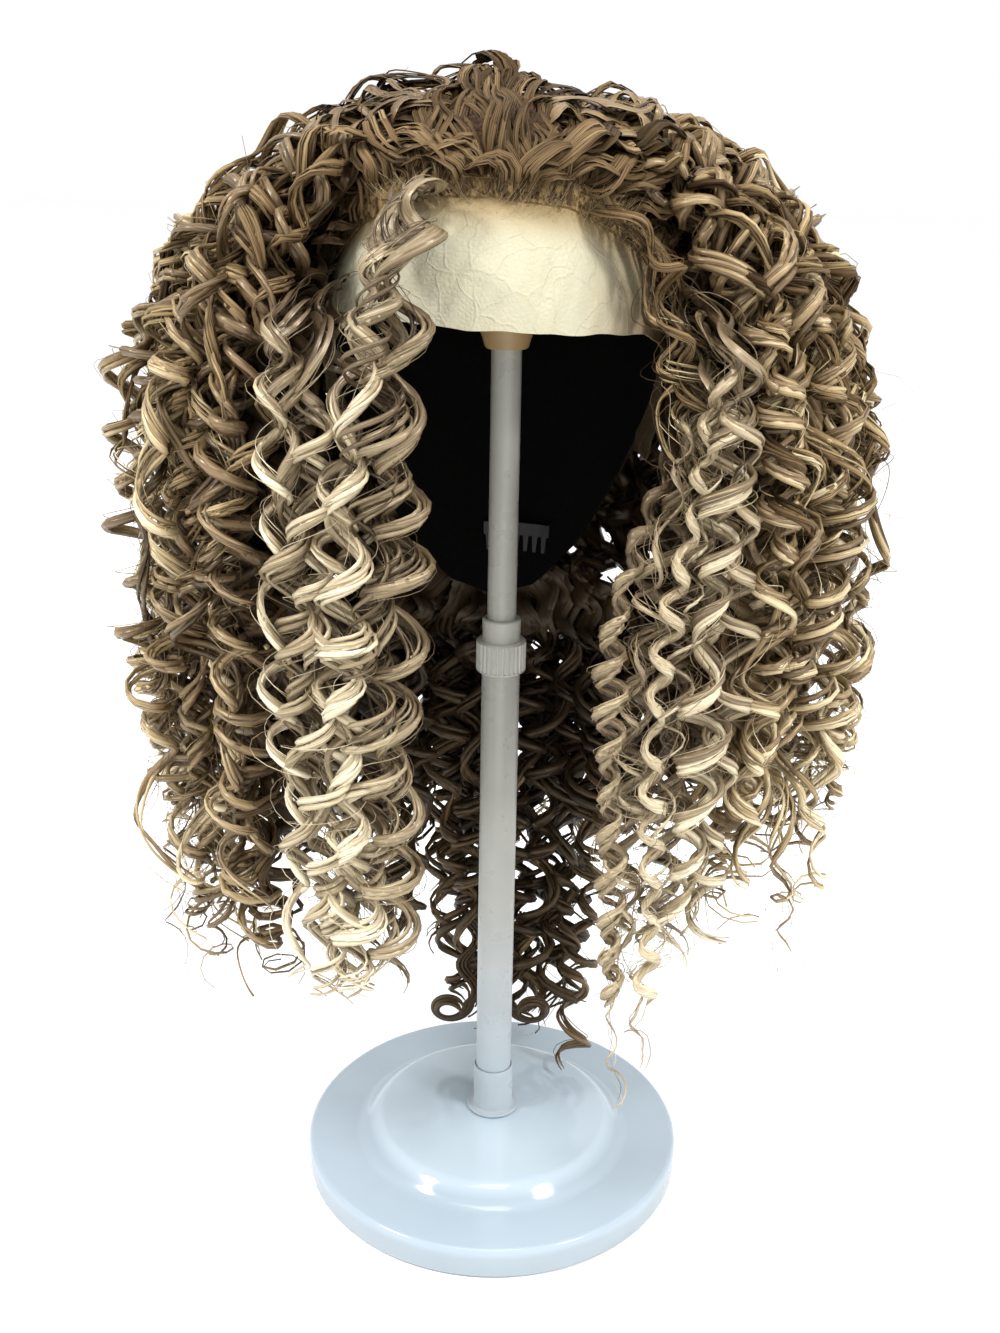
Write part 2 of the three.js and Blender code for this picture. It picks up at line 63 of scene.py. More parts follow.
def setCamera():
    lens = bpy.data.cameras.new("photoCamera")
    lens.sensor_fit = "VERTICAL"
    lens.sensor_height = 36
    lens.lens = lens.sensor_height * camera["focal"] / camera["frameHeight"]
    lens.clip_start = 0.01
    eye = bpy.data.objects.new("photoCamera", lens)
    eye.location = [v * mm for v in camera["place"]]
    turn = math.radians(90 - camera["pitch"])
    roll = math.radians(camera["roll"])
    eye.rotation_mode = "QUATERNION"
    eye.rotation_quaternion = Quaternion((1, 0, 0), turn) @ Quaternion((0, 0, 1), roll)
    bpy.context.scene.collection.objects.link(eye)
    bpy.context.scene.camera = eye


def setStudio():
    world = bpy.data.worlds.new("studio")
    bpy.context.scene.world = world
    world.use_nodes = True
    sky = world.node_tree.nodes["Background"]
    sky.inputs["Color"].default_value = (*studio["world"], 1)
    sky.inputs["Strength"].default_value = studio["worldStrength"]
    for lamp in lamps:
        light = bpy.data.lights.new(lamp["name"], "AREA")
        light.size = lamp["size"]
        light.energy = lamp["power"]
        place = bpy.data.objects.new(lamp["name"], light)
        place.location = lamp["place"]
        aimAt(place, studio["aim"])
        bpy.context.scene.collection.objects.link(place)
    view = bpy.context.scene.view_settings
    view.view_transform = "Standard"
    view.look = "None"


def deselectAll():
    if bpy.context.object and bpy.context.object.mode != "OBJECT":
        bpy.ops.object.mode_set(mode="OBJECT")
    bpy.ops.object.select_all(action="DESELECT")


def selectOnly(piece):
    deselectAll()
    piece.select_set(True)
    bpy.context.view_layer.objects.active = piece


setCamera()
setStudio()
print("camera and light set")


# Materials: a node is added with its inputs, each a value or the output that feeds it
def newMaterial(name):
    material = bpy.data.materials.new(name)
    material.use_nodes = True
    return material, material.node_tree, material.node_tree.nodes["Principled BSDF"]


def wire(node, inputs):
    for key, value in inputs.items():
        place = node.inputs[key]
        if isinstance(value, bpy.types.NodeSocket):
            node.id_data.links.new(value, place)
        else:
            place.default_value = (*value, 1) if place.type == "RGBA" else value


def addNode(tree, kind, inputs=(), **settings):
    node = tree.nodes.new("ShaderNode" + kind)
    for key, value in settings.items():
        setattr(node, key, value)
    wire(node, dict(inputs))
    return node


def addNoise(tree, place, scale, detail=2.0, roughness=0.5, output="Fac"):
    inputs = {"Vector": place, "Scale": scale, "Detail": detail, "Roughness": roughness}
    return addNode(tree, "TexNoise", inputs).outputs[output]


def addCells(tree, place, scale):
    cells = addNode(tree, "TexVoronoi", {"Vector": place, "Scale": scale}, feature="DISTANCE_TO_EDGE")
    return cells.outputs["Distance"]


def addRange(tree, value, low, high, toLow=0.0, toHigh=1.0, kind="LINEAR"):
    inputs = {"Value": value, "From Min": low, "From Max": high, "To Min": toLow, "To Max": toHigh}
    return addNode(tree, "MapRange", inputs, interpolation_type=kind).outputs["Result"]


def addMix(tree, factor, a, b, data="RGBA", blend="MIX"):
    mix = addNode(tree, "Mix", {"Factor": factor, "A": a, "B": b}, data_type=data, blend_type=blend)
    return mix.outputs["Result"]


def addMath(tree, operation, *values):
    return addNode(tree, "Math", dict(enumerate(values)), operation=operation).outputs["Value"]


def addBump(tree, height, strength, distance, **under):
    bump = addNode(tree, "Bump", {"Height": height, "Strength": strength, "Distance": distance, **under})
    return bump.outputs["Normal"]


def addRamp(tree, factor, stops):
    ramp = addNode(tree, "ValToRGB", {"Fac": factor})
    band = ramp.color_ramp
    while len(band.elements) < len(stops):
        band.elements.new(0.5)
    for element, (place, colour) in zip(band.elements, stops):
        element.position = place
        element.color = (*colour, 1)
    return ramp.outputs["Color"]


def splitAxes(tree, place):
    return addNode(tree, "SeparateXYZ", {"Vector": place}).outputs


floorFinish = {"size": 30.0, "colour": (1.0, 1.0, 1.0), "speckle": 0.008, "grain": 6.0, "roughness": 0.9}


def floorMaterial():
    material, tree, shader = newMaterial("paleFloor")
    grain = addNoise(tree, addNode(tree, "TexCoord").outputs["Object"], floorFinish["grain"])
    low = [c - floorFinish["speckle"] for c in floorFinish["colour"]]
    tint = addRamp(tree, grain, ((0.3, low), (0.7, floorFinish["colour"])))
    wire(shader, {"Base Color": tint, "Roughness": floorFinish["roughness"]})
    return material


def buildFloor():
    deselectAll()
    bpy.ops.mesh.primitive_plane_add(size=floorFinish["size"])
    floor = bpy.context.object
    floor.name = "floor"
    floor.data.materials.append(floorMaterial())


buildFloor()


# Moulded plastic of the stand: a cool glossy foot and a duller pole, painted warmer and darker higher up as
# the wig's shade
def plasticMaterial(name, finish):
    material, tree, shader = newMaterial(name)
    spot = addNode(tree, "TexCoord").outputs["Object"]
    cloud = addNoise(tree, spot, finish["cloudScale"], 4.0)
    colour = addRamp(tree, cloud, ((0.3, finish["shade"]), (0.7, finish["colour"])))
    if "heights" in finish:        # the colour changes with height, as painted shade and light: height in metres, colour
        full = finish["heights"][-1][0]
        height = addMath(tree, "DIVIDE", splitAxes(tree, spot)["Z"], full)
        column = addRamp(tree, height, [(z / full, tint) for z, tint in finish["heights"]])
        colour = addMix(tree, 1.0, column, colour, blend="MULTIPLY")
    scuff = addNoise(tree, spot, finish["scuffScale"], 6.0)
    grain = addNoise(tree, spot, finish["grainScale"])
    wire(shader, {"Base Color": colour, "IOR": 1.5,
                  "Roughness": addRange(tree, scuff, 0.35, 0.75, *finish["roughness"]),
                  "Normal": addBump(tree, grain, finish["bump"], 0.0004)})
    return material


footPlastic = plasticMaterial("footPlastic", {
    "colour": (0.48, 0.57, 0.63), "shade": (0.44, 0.525, 0.59), "cloudScale": 14.0, "scuffScale": 60.0,
    "roughness": (0.08, 0.15), "grainScale": 300.0, "bump": 0.02,
    # painted shade on the rim and at the foot of the step, painted light on the plateau that the hair shades
    "heights": ((0.0, (0.72, 0.71, 0.70)), (0.012, (0.73, 0.72, 0.72)), (0.0155, (0.81, 0.82, 0.84)),
                (0.018, (0.81, 0.82, 0.84)), (0.022, (0.76, 0.77, 0.79)), (0.0275, (0.97, 0.97, 0.98)),
                (0.034, (1.03, 1.03, 1.03)))})
polePlastic = plasticMaterial("polePlastic", {
    "colour": (1.0, 1.0, 1.0), "shade": (0.87, 0.87, 0.87), "cloudScale": 28.0, "scuffScale": 90.0,
    "roughness": (0.26, 0.42), "grainScale": 500.0, "bump": 0.06,
    # painted shade: the pole darker and warmer under the wig, lighter over the collar
    "heights": ((0.0, (0.43, 0.50, 0.55)), (0.07, (0.42, 0.475, 0.51)), (0.17, (0.375, 0.38, 0.35)),
                (0.29, (0.375, 0.375, 0.335)), (0.301, (0.39, 0.39, 0.35)), (0.3025, (0.50, 0.50, 0.455)),
                (0.33, (0.50, 0.50, 0.455)), (0.332, (0.42, 0.42, 0.38)), (0.36, (0.42, 0.42, 0.38)),
                (0.5, (0.42, 0.415, 0.365)))})
# painted shade: the dome's white plastic is coloured tan, as it sits in warm shade under the hair
hubShadedTan = plasticMaterial("hubShadedTan", {
    "colour": (0.42, 0.29, 0.13), "shade": (0.30, 0.2, 0.085), "cloudScale": 30.0, "scuffScale": 90.0,
    "roughness": (0.35, 0.5), "grainScale": 400.0, "bump": 0.08})


# Turned pieces of the stand
turnedCrease = math.radians(32)


def arc(centreRadius, centreHeight, radius, start, end, steps=5):
    angles = [math.radians(start + (end - start) * i / steps) for i in range(steps + 1)]
    return [(centreRadius + radius * math.cos(a), centreHeight + radius * math.sin(a)) for a in angles]


def nameActive(name):
    piece = bpy.context.object
    piece.name = name
    piece.data.name = name
    return piece


def cleanMesh(nearness):
    bpy.ops.object.mode_set(mode="EDIT")
    bpy.ops.mesh.select_all(action="SELECT")
    bpy.ops.mesh.remove_doubles(threshold=nearness)
    bpy.ops.mesh.normals_make_consistent(inside=False)
    bpy.ops.object.mode_set(mode="OBJECT")


def turnOnLathe(name, profile, sides, closed=False):
    # the profile is (radius, height) in mm, walked along the outside from the bottom up
    deselectAll()
    radius, height = profile[0]
    bpy.ops.mesh.primitive_circle_add(vertices=sides, radius=radius * mm, location=(0, 0, height * mm))
    piece = nameActive(name)
    bpy.ops.object.mode_set(mode="EDIT")
    bpy.ops.mesh.select_all(action="SELECT")
    if not closed:
        bpy.ops.mesh.edge_face_add()
    for nextRadius, nextHeight in profile[1:]:
        lift = (0, 0, (nextHeight - height) * mm)
        bpy.ops.mesh.extrude_region_move(TRANSFORM_OT_translate={"value": lift})
        grow = nextRadius / radius
        bpy.ops.transform.resize(value=(grow, grow, 1), center_override=(0, 0, nextHeight * mm))
        radius, height = nextRadius, nextHeight
    cleanMesh(0.00001)
    bpy.ops.object.transform_apply(location=True, rotation=True, scale=True)
    bpy.ops.object.shade_smooth_by_angle(angle=turnedCrease)
    return piece


def finishPiece(piece, material, slot, *nodes):
    piece.data.materials.clear()
    piece.data.materials.append(material)
    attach(piece, "root")
    if nodes:
        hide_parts(*nodes)
    return piece


foot = {"radius": 107, "edgeRound": 3, "rim": 18, "stepFoot": 80, "stepTop": 63, "plateau": 28, "dish": 40,
        "dishRise": 1.6, "centre": 31, "centreRadius": 19, "stepRows": 12, "sides": 128}


def buildFoot():
    curve, rim, plateau = foot["edgeRound"], foot["rim"], foot["plateau"]
    edge = foot["radius"] - curve
    profile = arc(edge, curve, curve, -90, 0) + arc(edge, rim - curve, curve, 0, 90)
    for row in range(foot["stepRows"] + 1):        # the step rises in an S
        t = row / foot["stepRows"]
        rise = 0.5 - 0.5 * math.cos(math.pi * t)
        radius = between(foot["stepFoot"], foot["stepTop"], t)
        profile.append((radius, between(rim, plateau, rise)))
    profile += [(foot["dish"], plateau + foot["dishRise"]), (foot["centreRadius"], foot["centre"])]
    piece = turnOnLathe("stand_foot", profile, foot["sides"])
    finishPiece(piece, footPlastic, "white_plastic", "stand_base")


socket = {"bottom": 31.3, "top": 59.3, "bore": 10.4, "sleeve": 11.2, "flangeRadius": 15, "flangeHeight": 1.8,
          "flangeRound": 0.6, "lipRound": 0.5, "sides": 64}


def buildSocket():
    low, high, bore, sleeve = (socket[k] for k in ("bottom", "top", "bore", "sleeve"))
    flange, lip = socket["flangeRound"], socket["lipRound"]
    rim = low + socket["flangeHeight"]
    edge = socket["flangeRadius"] - flange
    profile = [(bore, low), (edge, low)] + arc(edge, rim - flange, flange, 0, 90, 3)
    profile += [(sleeve + 1.2, rim), (sleeve + 0.3, rim + 0.5), (sleeve, rim + 1.6)]        # a small fillet
    profile += arc(sleeve - lip, high - lip, lip, 0, 90, 3) + [(bore, high), (bore, low)]
    piece = turnOnLathe("pole_socket", profile, socket["sides"], closed=True)
    finishPiece(piece, polePlastic, "white_plastic", "base_socket")


tubes = (
    {"name": "pole_lower", "node": "lower_tube", "radius": 10.0, "bottom": 31.3, "top": 316.0},
    {"name": "pole_upper", "node": "upper_tube", "radius": 7.5, "bottom": 236.0, "top": 512.0},
)
tubeMake = {"wall": 1.8, "edge": 0.5, "sides": 64}


def buildTubes():
    edge = tubeMake["edge"]
    for tube in tubes:
        outer, low, high = tube["radius"], tube["bottom"], tube["top"]
        inner = outer - tubeMake["wall"]
        profile = [(inner, low), (outer - edge, low), (outer, low + edge), (outer, high - edge),
                   (outer - edge, high), (inner, high), (inner, low)]
        piece = turnOnLathe(tube["name"], profile, tubeMake["sides"], closed=True)
        finishPiece(piece, polePlastic, "white_plastic", tube["node"])


collar = {"bottom": 302.0, "ringTop": 319.0, "top": 330.5, "ring": 13.0, "sleeve": 10.0, "lowBore": 10.4,
          "highBore": 7.9, "shelf": 316.4, "ribs": 30, "ribDepth": 0.75, "ribInset": 1.3}


def buildCollar():
    low, mid, high, shelf = (collar[k] for k in ("bottom", "ringTop", "top", "shelf"))
    lowBore, highBore, ring, sleeve = (collar[k] for k in ("lowBore", "highBore", "ring", "sleeve"))
    inset = collar["ribInset"]
    profile = [(lowBore, low), (ring - 0.8, low), (ring, low + 0.8), (ring, low + inset),
               (ring, mid - inset), (ring, mid - 0.9), (ring - 0.9, mid), (sleeve + 0.5, mid + 0.2),
               (sleeve, mid + 1.0), (sleeve, high - 0.6), (sleeve - 0.6, high), (highBore, high),
               (highBore, shelf), (lowBore, shelf), (lowBore, low)]
    piece = turnOnLathe("twist_collar", profile, collar["ribs"] * 4, closed=True)
    # the grip: two columns out of four are drawn in, between the ring's two plain lips
    selectOnly(piece)
    bpy.ops.object.mode_set(mode="EDIT")
    bpy.ops.mesh.select_mode(type="VERT")
    bpy.ops.mesh.select_all(action="DESELECT")
    bpy.ops.object.mode_set(mode="OBJECT")
    for corner in piece.data.vertices:
        x, y, z = (v / mm for v in corner.co)
        column = round(math.atan2(x, y) / (2 * math.pi) * collar["ribs"] * 4) % 4
        onRing = math.hypot(x, y) > ring - 0.2 and low + inset - 0.1 < z < mid - inset + 0.1
        corner.select = onRing and column in (0, 1)
    bpy.ops.object.mode_set(mode="EDIT")
    draw = (ring - collar["ribDepth"]) / ring
    bpy.ops.transform.resize(value=(draw, draw, 1), center_override=(0, 0, 0))
    bpy.ops.object.mode_set(mode="OBJECT")
    bpy.ops.object.shade_smooth_by_angle(angle=turnedCrease)
    finishPiece(piece, polePlastic, "white_plastic", "lock_collar")


dome = {"radius": 66, "rim": 496, "rise": 64, "wall": 2.4, "hubBottom": 468, "hubFoot": 10.8, "hubTop": 21,
        "hubRows": 6, "bore": 7.9, "boreTop": 512.4, "tip": 0.4, "rows": 12, "sides": 64}


def buildDome():
    rim, wall, rows, tip = (dome[k] for k in ("rim", "wall", "rows", "tip"))
    low, hub, bore, top = (dome[k] for k in ("hubBottom", "hubFoot", "bore", "boreTop"))
    inside, insideRise = dome["radius"] - wall, dome["rise"] - wall
    profile = [(tip, top), (bore, top), (bore, low), (hub - 0.8, low), (hub, low + 0.8)]
    meet = math.acos(dome["hubTop"] / inside)        # where the hub runs into the dome
    meetHeight = rim + insideRise * math.sin(meet)
    for row in range(1, dome["hubRows"] + 1):
        t = row / dome["hubRows"]
        profile.append((between(hub, dome["hubTop"], math.sqrt(t)), between(low, meetHeight, t)))
    for row in range(1, rows + 1):
        a = meet * (1 - row / rows)
        profile.append((inside * math.cos(a), rim + insideRise * math.sin(a)))
    profile.append((inside + wall / 2, rim - 0.6))
    for row in range(rows):
        a = math.pi / 2 * row / rows
        profile.append((dome["radius"] * math.cos(a), rim + dome["rise"] * math.sin(a)))
    profile.append((tip, rim + dome["rise"]))
    piece = turnOnLathe("head_dome", profile, dome["sides"])
    finishPiece(piece, hubShadedTan, "white_plastic", "top_dome")


buildFoot()
buildSocket()
buildTubes()
buildCollar()
buildDome()
print("stand built")


# The head form that the cap, the lace and the hair roots follow, in mm
head = {"centreX": -6, "centreY": 10, "equator": 470, "rise": 104, "halfWidth": 83, "front": 90, "back": 88,
        "taperHeight": 160, "sideTaper": 0.16, "backTaper": 0.1}
edges = {"azimuth": (0, 30, 58, 76, 90, 101, 112.5, 140, 160, 180),
         "cap": (541, 539, 524, 502, 474, 446, 424, 356, 325, 316),
         "lace": (485, 485, 484, 474, 436, 412, 415, 350, 320, 310), "tilt": 0.05}


def headPoint(azimuth, height, grown):
    turn = np.radians(azimuth)
    above = np.clip((height - head["equator"]) / (head["rise"] + grown), 0, 1)
    below = np.clip((head["equator"] - height) / head["taperHeight"], 0, None)
    ring = np.sqrt(1 - above ** 2)
    depth = np.where(np.cos(turn) > 0, head["front"], head["back"]) + grown
    side = (head["halfWidth"] + grown) * ring * (1 - head["sideTaper"] * below ** 2)
    x = head["centreX"] + side * np.sin(turn)
    y = head["centreY"] - depth * ring * (1 - head["backTaper"] * below ** 2) * np.cos(turn)
    return np.stack(np.broadcast_arrays(x, y, height), axis=-1).astype(float)


def edgeHeight(azimuth, which):
    around = np.abs((np.asarray(azimuth, float) + 180) % 360 - 180)
    tilted = -edges["tilt"] * head["halfWidth"] * np.sin(np.radians(azimuth))
    return np.interp(around, edges["azimuth"], edges[which]) + tilted


def heightDown(edge, down, grown):
    # the height after a share of the way from the crown down to the edge, along the surface
    rise = head["rise"] + grown
    lowest = np.arcsin(np.clip((edge - head["equator"]) / rise, 0, 1))
    upper = rise * (np.pi / 2 - lowest)
    lower = np.clip(head["equator"] - edge, 0, None)
    walked = down * (upper + lower)
    over = head["equator"] + rise * np.sin(np.pi / 2 - np.minimum(walked, upper) / rise)
    return np.where(walked <= upper + 0.001, over, head["equator"] - (walked - upper))


def clothGrid(name, columns, rows, surface, thickness):
    # a flat grid is laid over the head by its own UV, then given its thickness inwards
    deselectAll()
    bpy.ops.mesh.primitive_grid_add(x_subdivisions=columns, y_subdivisions=rows, size=1)
    piece = nameActive(name)
    flat = np.empty(len(piece.data.vertices) * 3)
    piece.data.vertices.foreach_get("co", flat)
    flat = flat.reshape(-1, 3)
    laid = surface(flat[:, 0] + 0.5, 0.5 - flat[:, 1]) * mm
    piece.data.vertices.foreach_set("co", laid.ravel())
    piece.data.update()
    cleanMesh(0.00005)
    wall = piece.modifiers.new("wall", "SOLIDIFY")
    wall.thickness = thickness * mm
    wall.offset = -1
    bpy.ops.object.modifier_apply(modifier=wall.name)
    bpy.ops.object.shade_smooth_by_angle(angle=math.radians(40))
    return piece


# The cap: black stretch net, seen from below and inside
capCloth = {"columns": 96, "rows": 30, "wall": 1.5, "net": 900.0, "colour": (0.0012, 0.0012, 0.0012),
            "thread": (0.004, 0.0038, 0.0036)}


def netMaterial():
    material, tree, shader = newMaterial("capNet")
    threads = addCells(tree, addNode(tree, "TexCoord").outputs["Object"], capCloth["net"])
    tint = addRamp(tree, threads, ((0.05, capCloth["thread"]), (0.2, capCloth["colour"])))
    wire(shader, {"Base Color": tint, "Normal": addBump(tree, threads, 0.5, 0.0003), "Roughness": 0.9,
                  "Specular IOR Level": 0.08})
    return material


def buildCap():
    def surface(across, down):
        azimuth = across * 360 - 180
        return headPoint(azimuth, heightDown(edgeHeight(azimuth, "cap"), down, 0), 0)
    piece = clothGrid("wig_cap", capCloth["columns"], capCloth["rows"], surface, capCloth["wall"])
    finishPiece(piece, netMaterial(), "cap_net", "cap")


# The lace front: cream net, crinkled, cut off nearly straight below
lacePiece = {"columns": 140, "rows": 30, "wall": 1.2, "reach": 112.5, "crinkle": 0.5, "ragged": 0.3}
laceFinish = {"cream": (0.42, 0.385, 0.26), "pale": (0.49, 0.47, 0.36), "tan": (0.20, 0.13, 0.06),
              "gold": (0.33, 0.235, 0.11), "tabShade": (0.042, 0.028, 0.012), "sheen": (0.9, 0.75, 0.5),
              "threads": 420.0, "creaseScale": 62.0, "warp": 0.03,
              "goldFrom": (0.62, 1.0), "tanFrom": (0.03, 0.072), "tabShadeFrom": (0.484, 0.462)}


def laceMaterial():
    material, tree, shader = newMaterial("creamLace")
    places = addNode(tree, "TexCoord").outputs
    spot = places["Object"]
    # crinkles are the ridges of a warped cell pattern, threads the borders of the net's own holes
    cloud = addNoise(tree, spot, 30.0, 3.0, output="Color")
    warped = addMix(tree, laceFinish["warp"], spot, cloud, data="VECTOR")
    ridges = addRange(tree, addCells(tree, warped, laceFinish["creaseScale"]), 0.0, 0.05, 1.0, 0.0)
    threads = addRange(tree, addCells(tree, spot, laceFinish["threads"]), 0.0, 0.3)
    # mottled cream, gold along the top, tan towards the right-hand end, painted shade low on the ear tabs
    axes = splitAxes(tree, spot)
    colour = addMix(tree, addNoise(tree, spot, 90.0, 6.0, 0.65), laceFinish["cream"], laceFinish["pale"])
    for tint, axis, kind in (("gold", splitAxes(tree, places["UV"])["Y"], "SMOOTHSTEP"),
                             ("tan", axes["X"], "LINEAR"), ("tabShade", axes["Z"], "SMOOTHSTEP")):
        share = addRange(tree, axis, *laceFinish[tint + "From"], kind=kind)
        colour = addMix(tree, share, colour, laceFinish[tint])
    fine = addBump(tree, threads, 0.35, 0.0004)
    wire(shader, {"Base Color": colour, "Normal": addBump(tree, ridges, 0.4, 0.0006, Normal=fine),
                  "Roughness": 0.75, "Specular IOR Level": 0.15, "Sheen Weight": 0.05,
                  "Sheen Tint": laceFinish["sheen"]})
    return material


def buildLace():
    def surface(across, down):
        azimuth = (across * 2 - 1) * lacePiece["reach"]
        low = edgeHeight(azimuth, "lace")
        ragged = lacePiece["ragged"] * (np.sin(azimuth * 0.2) + np.sin(azimuth * 0.37 + 1))
        top = edgeHeight(azimuth, "cap") - 0.4
        height = between(top, low + ragged, down)
        puff = np.sin(azimuth * 0.31) * np.sin(down * 9 + azimuth * 0.12)
        puff = puff + 0.6 * np.sin(azimuth * 0.83 + down * 14)
        return headPoint(azimuth, height, lacePiece["crinkle"] * puff * down)
    piece = clothGrid("lace_band", lacePiece["columns"], lacePiece["rows"], surface, lacePiece["wall"])
    finishPiece(piece, laceMaterial(), "lace", "lace_front")


combFinish = {"colour": (0.045, 0.045, 0.048), "shade": (0.025, 0.025, 0.027), "cloudScale": 60.0,
              "scuffScale": 120.0, "roughness": (0.3, 0.45), "grainScale": 600.0, "bump": 0.05}


def finishComb():
    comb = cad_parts["back_comb"]
    comb.data.materials.clear()
    comb.data.materials.append(plasticMaterial("combPlastic", combFinish))


buildCap()
buildLace()
finishComb()
print("cap, lace and comb built")


# Hair: locks of flat wisps wound in ringlets, all in mm until the mesh is made
bell = {"centreX": 0, "centreY": 12, "shoulder": 400, "slopes": (62, 38, 14), "hipShare": 0.4,
        "puffLeft": 0.055, "puffRight": 0.035,
        "outer": {"side": 175, "front": 110, "back": 122, "rise": 180},
        "inner": {"side": 98, "front": 98, "back": 106, "rise": 112}}


def bellPoint(azimuth, layer, slope):
    turn, tilt = math.radians(azimuth), math.radians(slope)
    size = {k: between(bell["inner"][k], bell["outer"][k], layer) for k in bell["outer"]}
    depth = size["front"] if math.cos(turn) > 0 else size["back"]
    puff = 1 + bell["puffLeft" if math.sin(turn) < 0 else "puffRight"] * layer * max(0, math.sin(2 * tilt))
    x = bell["centreX"] + size["side"] * puff * math.cos(tilt) * math.sin(turn)
    y = bell["centreY"] - depth * math.cos(tilt) * math.cos(turn)
    return np.array((x, y, bell["shoulder"] + size["rise"] * puff * math.sin(tilt)))


def smoothStep(low, high, value):
    t = np.clip((value - low) / (high - low), 0, 1)
    return t * t * (3 - 2 * t)


def unit(vectors):
    return vectors / np.maximum(np.linalg.norm(vectors, axis=-1, keepdims=True), 1e-9)


def walkedLengths(points):
    # how far along the points each one lies
    return np.concatenate([[0], np.cumsum(np.linalg.norm(np.diff(points, axis=0), axis=1))])


def smoothPath(points, spacing):
    # a curve through the points, cut into even steps
    knots = np.array(points, float)
    knots = np.vstack([2 * knots[0] - knots[1], knots, 2 * knots[-1] - knots[-2]])
    t = np.linspace(0, 1, 24, endpoint=False)[:, None]
    runs = []
    for a, b, c, d in zip(knots, knots[1:], knots[2:], knots[3:]):
        runs.append(b + 0.5 * t * (c - a + t * (2 * a - 5 * b + 4 * c - d + t * (3 * b - a - 3 * c + d))))
    fine = np.vstack(runs + [knots[-2:-1]])
    walked = walkedLengths(fine)
    count = max(12, int(walked[-1] / spacing)) + 1
    even = np.linspace(0, walked[-1], count)
    return np.stack([np.interp(even, walked, fine[:, k]) for k in range(3)], axis=1), walked[-1]


def wander(s, size, waves):
    # a soft random sway along a strand
    sway = np.zeros((len(s), 3))
    for wave in waves:
        turn = rng.random(3) * 2 * np.pi
        sway += rng.normal(0, size, 3) * np.sin(2 * np.pi * wave * s[:, None] + turn)
    return sway


def wave(s, turns):
    return np.sin(2 * np.pi * (rng.random() + turns * s))


hairLimits = {"side": 197.0, "front": -126.0, "back": 154.0, "give": 0.25, "headTop": 562}


def insideBox(centres):
    # loose ends that stray far out are drawn back towards the bell
    held = centres.copy()
    over = np.abs(held[:, 0]) - hairLimits["side"]
    held[:, 0] -= np.sign(held[:, 0]) * np.clip(over, 0, None) * (1 - hairLimits["give"])
    held[:, 1] -= np.clip(held[:, 1] - hairLimits["back"], 0, None) * (1 - hairLimits["give"])
    held[:, 1] += np.clip(hairLimits["front"] - held[:, 1], 0, None) * (1 - hairLimits["give"])
    return held


def outsideHead(path, margin):
    # a strand is pushed out of the head form wherever the cap or the lace is in its way
    azimuth = np.degrees(np.arctan2(path[:, 0] - head["centreX"], head["centreY"] - path[:, 1]))
    skin = headPoint(azimuth, path[:, 2], margin)
    middle = np.array((head["centreX"], head["centreY"]))
    room = np.linalg.norm(path[:, :2] - middle, axis=1) - np.linalg.norm(skin[:, :2] - middle, axis=1)
    covered = (path[:, 2] > edgeHeight(azimuth, "lace") - 2) & (path[:, 2] < hairLimits["headTop"])
    return np.where((covered & (room < 0))[:, None], skin, path)


def newTuft():
    return {"rings": [], "strand": [], "crisp": []}


def addRope(tuft, centres, face, wide, thin, tone, sides):
    # a closed oval tube along the centres, its flatter side turned to face; a very flat one has crisp edges
    along = unit(np.gradient(centres, axis=0))
    up = unit(face - along * np.sum(face * along, axis=1, keepdims=True))
    across = np.cross(up, along)
    turn = 2 * np.pi * np.arange(sides) / sides
    rings = centres[:, None] + across[:, None] * (wide[:, None] * np.cos(turn))[:, :, None]
    rings = rings + up[:, None] * (thin[:, None] * np.sin(turn))[:, :, None]
    strand = np.empty((len(centres), sides, 4))
    strand[:, :, 0] = tone[:, None]
    strand[:, :, 1] = np.abs(1 - 2 * np.arange(sides) / sides)
    strand[:, :, 2] = walkedLengths(centres)[:, None] * mm
    strand[:, :, 3] = rng.random()
    tuft["rings"].append(rings)
    tuft["strand"].append(strand)
    tuft["crisp"].append((thin < wide * 0.45)[:, None] & (np.arange(sides) % 2 == 0) & (sides == 4))


# what a lock has unless its own style says otherwise, and how its wisps differ from its stray hairs
lockDefaults = {"rootSway": 0, "uneven": 0.02, "flat": (0.6, 1.0), "drift": 0.04, "rootLag": 0.08,
                "trim": 0.9, "taperFrom": 0.86, "rootWide": 1.5, "lightFrom": 0.5, "light": 0.17,
                "lightShare": 0.16}
wisp = {"lag": 0.04, "reach": 0.12, "fuzz": 1, "wide": (0.6, 1.2), "sides": 4}
strayHair = {"lag": 0.12, "reach": 0.4, "fuzz": 4, "wide": (0.14, 0.26), "sides": 3}


